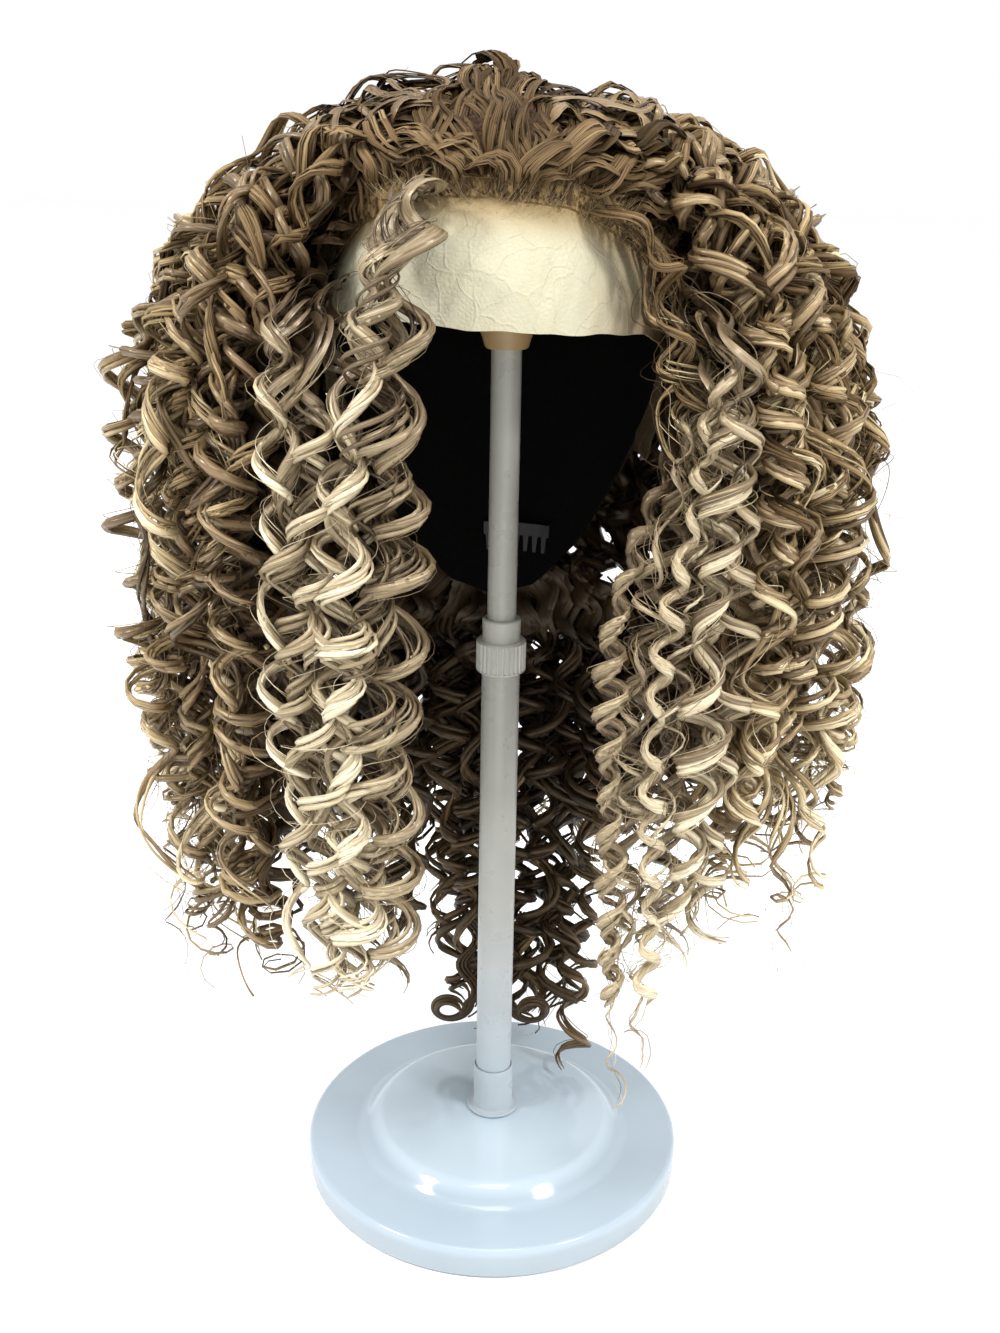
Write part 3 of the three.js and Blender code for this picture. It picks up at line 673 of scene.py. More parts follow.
def addLock(tuft, points, style):
    style = {**lockDefaults, **style}
    pitch, rootCurl = style["pitch"], style["rootCurl"]
    steps = math.hypot(pitch, 2 * math.pi * style["coil"]) / style["segment"]        # in one turn
    path, length = smoothPath(points, pitch / steps)
    s = np.linspace(0, 1, len(path))
    along = unit(np.gradient(path, axis=0))
    outward = path - np.array((bell["centreX"], bell["centreY"], bell["shoulder"] + 30))
    outward[:, 2] = np.clip(outward[:, 2], 0, None)
    side = unit(np.cross(along, outward))
    out = np.cross(side, along)
    path = path + wander(s, style["sway"], (1.3, 2.7)) * (style["rootSway"] + s[:, None])
    waver = wander(s, style["sway"] * 0.35, (length / 70, length / 45))
    path = outsideHead(path + waver * smoothStep(0, 0.2, s)[:, None], 2 + 7 * smoothStep(0, 0.12, s))
    curlFrom = style["curlFrom"] / length
    curl = between(rootCurl, 1, smoothStep(curlFrom * 0.3, curlFrom + 0.16, s))
    loose = (curl - rootCurl) / (1 - rootCurl)
    hand = 1 if rng.random() < 0.5 else -1
    turns = length / pitch
    ripple = wave(s, 2.3) + 0.6 * wave(s, 5.1)
    phase = rng.random() + hand * turns * (s + style["uneven"] * ripple)
    swell = 1 + 0.28 * wave(s, turns * 0.23) - 0.1 * s ** 4
    coil = style["coil"] * curl * swell
    lockTone = rng.normal(0, style["mottle"])
    flat = rng.uniform(*style["flat"])        # some locks wave more than they wind
    rootTone, bodyTone, tipTone = style["tone"]
    for j in range(style["ropes"] + style["strays"]):
        stray = j >= style["ropes"]
        kind = strayHair if stray else wisp
        place = rng.uniform(-0.8, 0.8) if stray else (j + 0.5) / style["ropes"] - 0.5
        lag = rng.normal(0, kind["lag"]) + rng.normal(0, style["drift"]) * s
        lag = lag + rng.normal(0, style["rootLag"]) * (1 - loose)
        turn = 2 * np.pi * (phase + lag)
        radial = np.cos(turn)[:, None] * side + np.sin(turn)[:, None] * out * flat
        reach = coil * (1 + rng.normal(0, kind["reach"]))
        shift = (place * style["band"] + rng.normal(0, 0.8)) * loose
        centres = path + along * shift[:, None] + radial * reach[:, None]
        centres += side * (place * style["rootSpread"] * (1 - loose))[:, None]
        fuzz = wander(s, style["fuzz"] * kind["fuzz"], (turns * 0.5, turns * 0.9))
        centres = insideBox(outsideHead(centres + fuzz * (0.25 + s[:, None]), 2.0))
        last = int(len(s) * rng.uniform(style["trim"], 1.0))
        t = s[:last] / s[last - 1]
        ends = (0.5 + 0.5 * smoothStep(0, 0.06, t)) * (1 - 0.78 * smoothStep(style["taperFrom"], 1, t))
        ends = ends * (1 + 0.18 * wave(t, turns * 0.4))
        wide = rng.uniform(*kind["wide"]) * (1 if stray else style["wide"]) * ends
        oval = np.ones(last)
        if not stray:
            wide = wide * (1 + (style["rootWide"] - 1) * (1 - loose[:last]))
            oval = 0.3 + 0.38 * loose[:last]
        body = bodyTone + lockTone + rng.normal(0, style["mottle"])
        body += style["light"] if rng.random() < style["lightShare"] else 0
        tone = between(rootTone, body, smoothStep(0.05, style["lightFrom"], s[:last]))
        tone = tone + (tipTone - bodyTone) * smoothStep(0.45, 0.95, s[:last])
        # painted light and shade: each coil lighter on its outer side and darker on its inner side
        tone = tone + hairFinish["crestShading"] * np.sin(turn[:last]) * curl[:last]
        face = radial * loose[:, None] + out * (1 - loose[:, None])
        addRope(tuft, centres[:last], face[:last], wide, wide * oval, tone, kind["sides"])


def tuftMesh(name, tuft):
    # every rope of the tuft in one mesh, built from arrays
    points = np.concatenate([rope.reshape(-1, 3) for rope in tuft["rings"]]) * mm
    strand = np.concatenate([rope.reshape(-1, 4) for rope in tuft["strand"]])
    quads, caps = [], []
    base = 0
    for rope in tuft["rings"]:
        count, sides = rope.shape[:2]
        rows = base + sides * np.arange(count - 1)[:, None]
        ring = rows + np.arange(sides)
        beside = rows + (np.arange(sides) + 1) % sides
        quads.append(np.stack([ring, beside, beside + sides, ring + sides], axis=-1).reshape(-1, 4))
        tip = base + sides * (count - 1)
        for k in range(1, sides - 1):
            caps.append((base, base + k + 1, base + k))
            caps.append((tip, tip + k, tip + k + 1))
        base += sides * count
    quads = np.concatenate(quads)
    caps = np.array(caps)
    mesh = bpy.data.meshes.new(name)
    mesh.vertices.add(len(points))
    mesh.vertices.foreach_set("co", points.ravel())
    corners = np.concatenate([quads.ravel(), caps.ravel()])
    starts = np.concatenate([np.arange(len(quads)) * 4, len(quads) * 4 + np.arange(len(caps)) * 3])
    mesh.loops.add(len(corners))
    mesh.loops.foreach_set("vertex_index", corners.astype(np.int32))
    mesh.polygons.add(len(starts))
    mesh.polygons.foreach_set("loop_start", starts.astype(np.int32))
    mesh.polygons.foreach_set("use_smooth", np.ones(len(starts), bool))
    colour = mesh.color_attributes.new("strand", "FLOAT_COLOR", "POINT")
    colour.data.foreach_set("color", strand.ravel())
    mesh.update(calc_edges=True)
    mesh.validate()
    crisp = np.concatenate([rope.ravel() for rope in tuft["crisp"]])
    pairs = np.empty(len(mesh.edges) * 2, np.int32)
    mesh.edges.foreach_get("vertices", pairs)
    sharp = mesh.attributes.new("sharp_edge", "BOOLEAN", "EDGE")
    sharp.data.foreach_set("value", crisp[pairs].reshape(-1, 2).all(axis=1))
    piece = bpy.data.objects.new(name, mesh)
    bpy.context.scene.collection.objects.link(piece)
    print(name, "triangles", len(quads) * 2 + len(caps))
    return piece


# Hair colours, dark root to pale blond, read at each wisp's own tone
hairTones = ((0.0, (0.017, 0.010, 0.005)), (0.25, (0.058, 0.035, 0.016)), (0.45, (0.15, 0.097, 0.047)),
             (0.65, (0.30, 0.213, 0.108)), (0.82, (0.51, 0.40, 0.225)), (1.0, (0.74, 0.635, 0.42)))
blondTones = ((0.0, (0.02, 0.012, 0.006)), (0.25, (0.062, 0.04, 0.02)), (0.45, (0.165, 0.118, 0.066)),
              (0.65, (0.33, 0.26, 0.155)), (0.82, (0.55, 0.465, 0.31)), (1.0, (0.80, 0.72, 0.53)))
hairFinish = {"tones": hairTones, "roughness": 0.3, "streaks": 6.0, "alongScale": 26.0, "seedScale": 90.0,
              "streakTone": 0.36, "bump": 0.35, "crestShading": 0.10, "gaps": (0.37, 0.43),
              "gapColour": (0.014, 0.009, 0.005), "gloss": 0.65, "glossTint": (1.0, 0.87, 0.68)}


def hairMaterial(name, **changes):
    finish = dict(hairFinish, **changes)
    material, tree, shader = newMaterial(name)
    strand = addNode(tree, "Attribute", attribute_name="strand").outputs
    parts = addNode(tree, "SeparateColor", {"Color": strand["Color"]}).outputs
    # fine hairs: noise stretched along the wisp
    spot = addNode(tree, "CombineXYZ", {
        "X": addMath(tree, "MULTIPLY", parts["Green"], finish["streaks"]),
        "Y": addMath(tree, "MULTIPLY", parts["Blue"], finish["alongScale"]),
        "Z": addMath(tree, "MULTIPLY", strand["Alpha"], finish["seedScale"])}).outputs["Vector"]
    hairs = addNoise(tree, spot, 1.0, 4.0, 0.65)
    change = finish["streakTone"] / 2
    tone = addMath(tree, "ADD", parts["Red"], addRange(tree, hairs, 0.3, 0.7, -change, change))
    gaps = addRange(tree, hairs, *finish["gaps"])        # painted shade: dark lines between the hairs
    colour = addMix(tree, gaps, finish["gapColour"], addRamp(tree, tone, finish["tones"]))
    wire(shader, {"Base Color": colour, "Normal": addBump(tree, hairs, finish["bump"], 0.0006), "IOR": 1.5,
                  "Roughness": finish["roughness"], "Specular IOR Level": finish["gloss"],
                  "Specular Tint": finish["glossTint"]})
    return material


# The layer under the curls: hair lying close on the cap
backing = {"columns": 112, "rows": 40, "lift": 7.0, "wall": 0.9, "waves": 1.2, "aboveEdge": -1.2,
           "hump": 9.0, "colour": (0.075, 0.042, 0.019), "shade": (0.02, 0.011, 0.006),
           "gold": (0.34, 0.23, 0.10), "goldShade": (0.10, 0.06, 0.025), "goldFrom": (0.22, 0.05),
           "stretch": (260, 30, 1)}


def backingMaterial():
    material, tree, shader = newMaterial("closeHair")
    spot = addNode(tree, "TexCoord").outputs["UV"]
    axes = splitAxes(tree, spot)
    stretched = addNode(tree, "Mapping", {"Vector": spot, "Scale": backing["stretch"]}).outputs["Vector"]
    hairs = addNoise(tree, stretched, 1.0, 4.0)
    brown = addRamp(tree, hairs, ((0.35, backing["shade"]), (0.7, backing["colour"])))
    gold = addRamp(tree, hairs, ((0.38, backing["goldShade"]), (0.62, backing["gold"])))
    hem = addRange(tree, axes["Y"], *backing["goldFrom"], kind="SMOOTHSTEP")
    front = addMath(tree, "COMPARE", axes["X"], 0.5, 0.2)        # only between the temples
    colour = addMix(tree, addMath(tree, "MULTIPLY", hem, front), brown, gold)
    wire(shader, {"Base Color": colour, "Normal": addBump(tree, hairs, 0.6, 0.001), "Roughness": 0.7,
                  "Specular IOR Level": 0.1})
    return material


def buildBacking():
    def surface(across, down):
        azimuth = across * 360 - 180
        front = 1 - smoothStep(70, 90, np.abs(azimuth))
        edge = edgeHeight(azimuth, "cap") + backing["aboveEdge"] * front + 2 * (1 - front)
        hem = 1 - 0.8 * smoothStep(0.86, 1.0, down)
        ripple = backing["waves"] * np.sin(np.radians(azimuth) * 34 + 3 * np.sin(down * 6))
        ripple = ripple * smoothStep(0.05, 0.3, down)
        bulge = backing["hump"] * np.exp(-((azimuth - 3) / 34) ** 2) * smoothStep(0.0, 0.35, down)
        bulge = bulge * (1 - smoothStep(0.45, 0.85, down))
        grown = (backing["lift"] + bulge + ripple) * hem
        return headPoint(azimuth, heightDown(edge, down, backing["lift"]), grown)
    piece = clothGrid("close_hair", backing["columns"], backing["rows"], surface, backing["wall"])
    finishPiece(piece, backingMaterial(), "dark_hair", "hair_left", "hair_right", "hair_back")


buildBacking()

# Layers of the bell, outermost first: how far apart the locks hang, how fine they are and how light; the
# inner layers are darker, partly as darker hair and partly as painted shade
curls = {"coil": 9.0, "pitch": 29.0, "band": 5.0, "ropes": 3, "wide": 1.8, "strays": 2, "segment": 5.7,
         "rootSpread": 13.0, "rootCurl": 0.42, "curlFrom": 70.0, "sway": 7.0, "fuzz": 0.6, "mottle": 0.13}
layers = (
    {"layer": 1.0, "from": 45, "spacing": 12.5, "tone": (0.37, 0.43, 0.60), "lightFrom": 0.58,
     "rootSway": 0.3},
    {"layer": 0.82, "from": 48, "spacing": 14.0, "tone": (0.31, 0.36, 0.52), "ropes": 2, "wide": 2.3,
     "segment": 6.6},
    {"layer": 0.60, "from": 52, "spacing": 19.0, "tone": (0.15, 0.28, 0.41), "strays": 1, "wide": 2.8,
     "segment": 8.0},
    {"layer": 0.38, "from": 60, "spacing": 22.0, "tone": (0.10, 0.21, 0.31), "ropes": 2, "strays": 0,
     "wide": 4.0, "segment": 8.5, "rootWide": 1.0},
    {"layer": 0.14, "from": 72, "spacing": 24.0, "tone": (0.07, 0.17, 0.25), "ropes": 2, "strays": 0,
     "wide": 4.4, "segment": 9.5, "rootWide": 1.0},
)
curtain = {"from": 45.0, "hemAzimuth": (45, 60, 75, 95, 125, 150, 180),
           "leftHem": (140, 144, 156, 176, 168, 145, 112), "rightHem": (180, 182, 200, 220, 172, 145, 112),
           "hemSpread": 11.0, "crown": 568.0, "rootAboveEdge": 10.0, "rootTop": 572.0, "lift": 9.0,
           "innerBelow": 0.7, "innerFrom": 64, "shade": {"left": -0.01, "right": 0.09, "back": -0.08},
           "backFrom": 112, "backSegment": 10.0, "backCoarser": 1.25, "backWider": 1.3}


def hangAzimuths(layer, spacing, first):
    # even places round the curtain, from the right-hand edge back to the left-hand edge
    azimuths = np.linspace(first, 360 - first, 400)
    places = np.array([bellPoint(a, layer, 0) for a in azimuths])
    walked = walkedLengths(places)
    count = int(round(walked[-1] / spacing))
    return np.interp((np.arange(count) + 0.5) / count * walked[-1], walked, azimuths)


def hemHeight(azimuth):
    row = "rightHem" if azimuth > 0 else "leftHem"
    return float(np.interp(abs(azimuth), curtain["hemAzimuth"], curtain[row]))


def hangingRun(azimuth, layer, tip):
    # the part of a lock that falls outside the bell, down to its tip
    hip = bellPoint(azimuth, layer, 0)
    axis = np.array((bell["centreX"], bell["centreY"], 0))
    hipHeight = between(bell["shoulder"], tip, bell["hipShare"])
    run = []
    for swing, height in ((1.03 if azimuth < 0 else 1.005, hipHeight), (0.97, tip)):
        place = axis + (hip - axis) * swing
        run.append(np.array((place[0], place[1], height)))
    return run


def curtainPath(azimuth, layer):
    # roots fan out over the whole crown, so the front ones are combed from the parting to the sides
    share = max(0, abs(azimuth) - curtain["from"]) / (180 - curtain["from"])
    combed = 180 * share ** 0.9 * layer + abs(azimuth) * (1 - layer)
    if layer < curtain["innerBelow"]:        # the inner layers stay clear of the lace
        combed = max(combed, curtain["innerFrom"])
    rootAzimuth = math.copysign(combed, azimuth) + rng.normal(0, 4)
    edge = float(edgeHeight(rootAzimuth, "cap")) + curtain["rootAboveEdge"]
    rootHeight = between(edge, max(curtain["crown"], edge), math.sqrt(layer)) + rng.normal(0, 1.5)
    root = headPoint(rootAzimuth, min(rootHeight, curtain["rootTop"]), 3.0)
    over = [bellPoint(azimuth, layer, slope) for slope in bell["slopes"]]
    over = [p for p in over if p[2] < root[2] + 14]
    lifted = (root + over[0]) / 2 + np.array((0, 0, curtain["lift"] * layer))
    tip = hemHeight(azimuth) + rng.normal(0, curtain["hemSpread"])
    return [root, lifted, *over, *hangingRun(azimuth, layer, tip)]


def variedStyle(base, changes):
    style = {**base, **changes}
    style["coil"] *= rng.uniform(0.7, 1.25)
    style["pitch"] *= rng.uniform(0.76, 1.15)
    style["band"] *= rng.uniform(0.65, 1.25)
    return style


def signedAzimuth(azimuth):
    return (azimuth + 180) % 360 - 180


def buildCurtain():
    names = ("left_outer", "left_inner", "right_outer", "right_inner", "back_outer", "back_inner")
    tufts = {name: newTuft() for name in names}
    for layer in layers:
        changes = {k: v for k, v in layer.items() if k not in ("layer", "spacing", "from")}
        for azimuth in hangAzimuths(layer["layer"], layer["spacing"], layer["from"]):
            style = variedStyle(curls, changes)
            around = signedAzimuth(azimuth + rng.normal(0, 2))
            where = "back" if abs(around) > curtain["backFrom"] else "right" if around > 0 else "left"
            depth = "outer" if layer["layer"] > curtain["innerBelow"] else "inner"
            # tone by where the lock hangs: the right lighter, the left a little darker, and the back darker,
            # partly as darker hair and partly as painted shade
            style["tone"] = tuple(t + curtain["shade"][where] for t in style["tone"])
            if where == "back":
                coarse = style["segment"] * curtain["backCoarser"]
                segment = curtain["backSegment"] if depth == "outer" else coarse
                style.update(ropes=2, strays=0, segment=segment, wide=style["wide"] * curtain["backWider"])
            addLock(tufts[where + "_" + depth], curtainPath(around, layer["layer"]), style)
    for name, tuft in tufts.items():
        where = name.split("_")[0]
        piece = tuftMesh("curls_" + name, tuft)
        slot = "dark_hair" if where == "back" else "brown_hair"
        inside = innerHair if name.endswith("inner") else brownHair
        finishPiece(piece, darkHair if where == "back" else inside, slot, "hair_" + where)


brownHair = hairMaterial("brownHair")
innerHair = hairMaterial("innerHair", roughness=0.5, gloss=0.2)
darkHair = hairMaterial("darkHair", roughness=0.4, gloss=0.4)
blondHair = hairMaterial("blondHair", tones=blondTones, gaps=(0.31, 0.38), gapColour=(0.05, 0.034, 0.018))
combedHair = hairMaterial("combedHair", roughness=0.4, gloss=0.07, gaps=(0.39, 0.45))        # duller
buildCurtain()
print("curtain of curls built")


# The crown: hair combed from the parting and from the hairline to both sides, with a hump in the middle
signs = {"left": -1, "right": 1}
crown = {"parting": 4.0, "partFront": -48.0, "partBack": 52.0, "perSide": 14, "partX": -2.0, "overlap": 7,
         "hangFront": 62.0, "hangBack": 172.0, "slopes": (60, 36, 10), "tips": (350, 455),
         "lift": {"left": 8.0, "right": 4.0},
         # the left half is lighter: painted light on locks that lie in shade
         "style": {"left": {"ropes": 3, "wide": 1.8, "tone": (0.56, 0.64, 0.70)},
                   "right": {"ropes": 3, "wide": 1.8, "tone": (0.38, 0.48, 0.60)}}}
# the hairline locks are kept dark: painted shade against the strong light on the front of the crown
hairline = {"from": -66.0, "to": 68.0, "count": 28, "hang": 47.0, "hangGain": 0.6, "slopes": (58, 36, 10),
            "tips": (355, 460), "layer": (0.88, 1.04),
            "style": {"tone": (0.34, 0.33, 0.56), "lightFrom": 0.25}}
hump = {"azimuths": (-29, -24, -20, -16, -12, -8, -4, 0, 8, 11, 14, 18, 23, 28), "fan": (1.25, 1.6, 2.1),
        "rises": ((555, 9.0, 0.0), (568, 12.0, 0.6), (578, 13.0, 1.0)), "ridge": 580.0, "peak": 11.0,
        "peakAt": -6.0, "peakWidth": 20.0, "middle": (-1, 3, 5, 9), "slopes": (36, 14),
        "hang": (78, 112), "middleHang": (122, 150)}
crownStyle = {"coil": 8.5, "pitch": 36.0, "band": 6.0, "ropes": 5, "wide": 1.35, "strays": 0, "segment": 6.9,
              "rootSpread": 13.0, "rootCurl": 0.42, "curlFrom": 110.0, "sway": 4.5, "rootSway": 0.4,
              "fuzz": 0.6, "mottle": 0.11, "rootLag": 0.06, "rootWide": 1.3, "tone": (0.33, 0.46, 0.60)}
# the hump locks are darker along their middle than at the root: painted shade against the strong light on
# the front of the crown
humpStyle = {"rootCurl": 0.32, "curlFrom": 170.0, "pitch": 46.0, "ropes": 6, "wide": 1.0, "rootSpread": 10.0,
             "tone": (0.28, 0.21, 0.42), "lightFrom": 0.25}
# wisps at the right temple: root (azimuth and height), then three points on the way down
temple = (((34, 537), (52, -64, 532), (76, -64, 492), (90, -68, 410)),
          ((42, 533), (56, -58, 526), (69, -64, 480), (80, -70, 400)),
          ((50, 529), (66, -50, 518), (78, -58, 470), (88, -66, 385)),
          ((58, 523), (74, -42, 510), (86, -52, 462), (96, -62, 375)))
templeStyle = {"coil": 6.5, "pitch": 30.0, "band": 4.0, "ropes": 3, "wide": 1.1, "strays": 4,
               "rootCurl": 0.3, "curlFrom": 50.0, "rootSpread": 8.0, "sway": 2.0, "segment": 4.4,
               "tone": (0.34, 0.38, 0.54)}


def sideOf(azimuth):
    return "left" if azimuth < crown["parting"] else "right"


def drape(hang, layer, slopes, tips):
    # down over the bell, then hanging to a tip somewhere in the range
    over = [bellPoint(hang, layer, slope) for slope in slopes]
    return over + hangingRun(hang, layer, rng.uniform(*tips))


def humpRise(azimuth, swept, peak):
    # from the hairline up the front of the hump
    path = [headPoint(azimuth, float(edgeHeight(azimuth, "cap")) + 2, 1.5)]
    for turned, (height, grown, share) in zip(swept, hump["rises"]):
        path.append(headPoint(turned, height + hump["peak"] * peak * share, grown + 5 * peak * share))
    return path


def addParting(tuft, where):
    sign = signs[where]
    for i in range(crown["perSide"]):
        t = (i + 0.5) / crown["perSide"]
        x = crown["partX"] - sign * crown["overlap"]
        y = between(crown["partFront"], crown["partBack"], t)
        reach = math.hypot((x - head["centreX"]) / head["halfWidth"], (y - head["centreY"]) / head["front"])
        height = (head["rise"] + 4) * math.sqrt(max(0.05, 1 - reach ** 2))
        root = np.array((x, y, head["equator"] + height))
        hang = between(crown["hangFront"], crown["hangBack"], t) + rng.normal(0, 4)
        fall = drape(sign * hang, rng.normal(1.0, 0.02), crown["slopes"], crown["tips"])
        lifted = (root + fall[0]) / 2 + np.array((0, 0, crown["lift"][where]))
        addLock(tuft, [root, lifted, *fall], variedStyle(crownStyle, crown["style"][where]))


def addHairline(tufts):
    span = hairline["to"] - hairline["from"]
    for i in range(hairline["count"]):
        azimuth = hairline["from"] + span * i / (hairline["count"] - 1) + rng.normal(0, 1.2)
        where = sideOf(azimuth)
        edge = float(edgeHeight(azimuth, "cap"))
        root = headPoint(azimuth, edge + rng.uniform(0, 6), 1.5)
        lifted = headPoint(azimuth + signs[where] * 7, edge + rng.uniform(12, 20), 13.0)
        hang = hairline["hang"] + hairline["hangGain"] * abs(azimuth - crown["parting"]) + rng.normal(0, 4)
        layer = rng.uniform(*hairline["layer"])
        fall = drape(signs[where] * hang, layer, hairline["slopes"], hairline["tips"])
        fall = [p for p in fall if p[2] < lifted[2] + 12]
        addLock(tufts[where], [root, lifted, *fall], variedStyle(crownStyle, hairline["style"]))


def addHump(tufts):
    for azimuth in hump["azimuths"]:
        where = sideOf(azimuth)
        sign = signs[where]
        offset = azimuth - crown["parting"]
        swept = [crown["parting"] + offset * fan + rng.normal(0, 2) for fan in hump["fan"]]
        peak = math.exp(-((azimuth - hump["peakAt"]) / hump["peakWidth"]) ** 2)
        path = humpRise(azimuth, swept, peak)
        ridge = hump["ridge"] + hump["peak"] * peak
        x = path[-1][0] + sign * (20 - 12 * peak)
        path += [np.array((x, 2.0, ridge)), np.array((x + sign * 42, 12.0, ridge - 16))]
        path += drape(sign * rng.uniform(*hump["hang"]), 1.0, hump["slopes"], crown["tips"])
        addLock(tufts[where], path, variedStyle(crownStyle, humpStyle))
    for i, azimuth in enumerate(hump["middle"]):        # over the middle, where the two halves part
        where = ("left", "right")[i % 2]
        sign = signs[where]
        path = humpRise(azimuth, (azimuth,) * len(hump["rises"]), 1.0)
        x, ridge = path[-1][0], hump["ridge"] + hump["peak"] - 3
        path += [np.array((x + sign * 4, 4.0, ridge)), np.array((x + sign * 20, 34.0, ridge - 8))]
        path += drape(sign * rng.uniform(*hump["middleHang"]), 1.0, hump["slopes"], crown["tips"])
        addLock(tufts[where], path, variedStyle(crownStyle, humpStyle))


def buildCrown():
    tufts = {where: newTuft() for where in signs}
    for where, tuft in tufts.items():
        addParting(tuft, where)
    addHairline(tufts)
    addHump(tufts)
    for root, *rest in temple:
        addLock(tufts["right"], [headPoint(*root, 2.0), *rest], dict(crownStyle, **templeStyle))
    for where, tuft in tufts.items():
        piece = tuftMesh("crown_" + where, tuft)
        finishPiece(piece, combedHair, "brown_hair", "hair_" + where)


buildCrown()
print("crown built")


# The bunch over the lace on the left and the neat blond ringlets on the right
frontStyle = {"band": 4.5, "ropes": 3, "wide": 1.9, "strays": 3, "segment": 4.8, "rootSpread": 9.0,
              "rootCurl": 0.5, "curlFrom": 90.0, "sway": 2.5, "fuzz": 0.4, "mottle": 0.10, "lightFrom": 0.32,
              "uneven": 0.012, "drift": 0.03, "flat": (0.45, 0.75), "rootWide": 1.1, "taperFrom": 0.92,
              "trim": 0.96}
neatStyle = {"band": 4.0, "flat": (0.4, 0.5), "ropes": 3, "wide": 2.6, "trim": 0.985, "taperFrom": 0.97,
             "strays": 4, "sway": 0.8, "fuzz": 0.3, "uneven": 0.005, "mottle": 0.05, "drift": 0.02,
             "rootCurl": 0.2, "tone": (0.30, 0.55, 0.64)}
fuzzyStyle = {"ropes": 1, "wide": 1.2, "strays": 8, "fuzz": 0.9, "rootCurl": 0.3, "segment": 5.4,
              "tone": (0.28, 0.50, 0.62)}
trailStyle = {"coil": 4.0, "pitch": 30.0, "band": 1.0, "ropes": 1, "wide": 0.95, "strays": 2, "segment": 3.6,
              "rootSpread": 1.0, "rootCurl": 0.9, "curlFrom": 10.0, "sway": 1.0, "fuzz": 0.3, "mottle": 0.04,
              "tone": (0.60, 0.64, 0.64)}
# each row: root (azimuth and height), three points on the way down, coil, pitch, changes to the style
bunch = (
    ((-28, 548), (-41, -100, 508), (-44, -106, 400), (-51, -104, 172), 10.0, 35,
     {"tone": (0.46, 0.62, 0.72), "ropes": 5, "band": 7.0, "curlFrom": 40.0, "rootSpread": 5.0}),
    ((-36, 545), (-54, -104, 500), (-58, -113, 405), (-56, -108, 230), 11.0, 33,
     {"tone": (0.24, 0.26, 0.56), "ropes": 2, "wide": 1.6, "strays": 1, "curlFrom": 20.0, "lightFrom": 0.7}),
    ((-38, 544), (-57, -100, 486), (-69, -108, 390), (-68, -104, 168), 10.5, 34,
     {"tone": (0.44, 0.64, 0.74), "ropes": 6, "band": 8.0, "curlFrom": 60.0, "rootSpread": 5.0,
      "rootCurl": 0.45}),
    ((-40, 543), (-60, -99, 482), (-74, -102, 380), (-70, -98, 158), 10.0, 34,
     {"tone": (0.36, 0.50, 0.64), "curlFrom": 80.0, "rootSpread": 5.0, "rootCurl": 0.45}),
    ((-66, 502), (-82, -90, 462), (-84, -100, 360), (-78, -96, 152), 10.0, 33, {"tone": (0.18, 0.50, 0.66)}),
    ((-72, 498), (-96, -82, 474), (-94, -93, 350), (-86, -92, 152), 10.0, 35, {"tone": (0.18, 0.42, 0.60)}),
    ((-76, 495), (-100, -78, 480), (-103, -85, 350), (-96, -84, 158), 10.0, 33,
     {"tone": (0.18, 0.45, 0.64)}),
    ((-62, 502), (-68, -92, 446), (-60, -96, 350), (-58, -90, 170), 9.5, 31, {"tone": (0.20, 0.40, 0.54)}),
    ((-72, 494), (-88, -80, 462), (-82, -86, 330), (-76, -86, 160), 10.0, 34, {"tone": (0.18, 0.38, 0.54)}),
    ((-34, 545), (-51, -99, 482), (-54, -102, 390), (-60, -96, 164), 9.5, 33,
     {"tone": (0.34, 0.46, 0.62), "curlFrom": 80.0, "rootSpread": 5.0, "rootCurl": 0.45}),
    ((-31, 547), (-47, -100, 490), (-46, -105, 400), (-51, -101, 240), 9.0, 35,
     {"tone": (0.24, 0.27, 0.60), "ropes": 2, "wide": 1.6, "strays": 2, "curlFrom": 20.0, "lightFrom": 0.6}),
    ((-74, 494), (-96, -80, 470), (-90, -88, 320), (-70, -92, 160), 9.5, 31, {"tone": (0.18, 0.40, 0.58)}),
)
ringlets = (
    ((84, 474), (73, -66, 420), (50, -98, 345), (57, -104, 164), 6.2, 20.5,
     {**neatStyle, "curlFrom": 110.0, "tone": (0.16, 0.54, 0.64), "lightFrom": 0.45}),
    ((80, 484), (90, -80, 448), (73, -101, 330), (72, -104, 160), 6.2, 21, neatStyle),
    ((76, 494), (98, -78, 462), (93, -94, 330), (86, -98, 178), 10.0, 29, {"tone": (0.32, 0.52, 0.70)}),
    ((74, 500), (102, -74, 474), (108, -84, 340), (101, -88, 186), 10.5, 31, {"tone": (0.30, 0.48, 0.66)}),
    ((84, 476), (86, -66, 446), (64, -82, 320), (63, -84, 176), 9.0, 28, {"tone": (0.26, 0.46, 0.60)}),
    ((86, 472), (96, -58, 438), (82, -74, 320), (79, -80, 180), 9.5, 27, {"tone": (0.28, 0.50, 0.64)}),
    ((80, 488), (106, -64, 456), (98, -76, 330), (93, -80, 186), 9.5, 30, {"tone": (0.28, 0.48, 0.66)}),
    ((83, 477), (80, -76, 440), (61, -97, 320), (63, -99, 170), 7.0, 25, fuzzyStyle),
    ((79, 486), (93, -75, 448), (80, -96, 330), (79, -99, 170), 7.5, 26, fuzzyStyle),
)
# thin ends that trail below the neat pair: each runs through its own points
trails = (((52, -103, 200), (58, -102, 150), (63, -98, 112), (64, -96, 92)),
          ((68, -103, 190), (70, -102, 150), (76, -98, 124)))
frontLift = np.array((0, -8.0, 9.0))


def addFront(tuft, rows):
    for place, over, low, tip, coil, pitch, changes in rows:
        root = headPoint(*place, 4.0)
        lifted = (root + over) / 2 + frontLift
        addLock(tuft, [root, lifted, over, low, tip], dict(frontStyle, coil=coil, pitch=pitch, **changes))


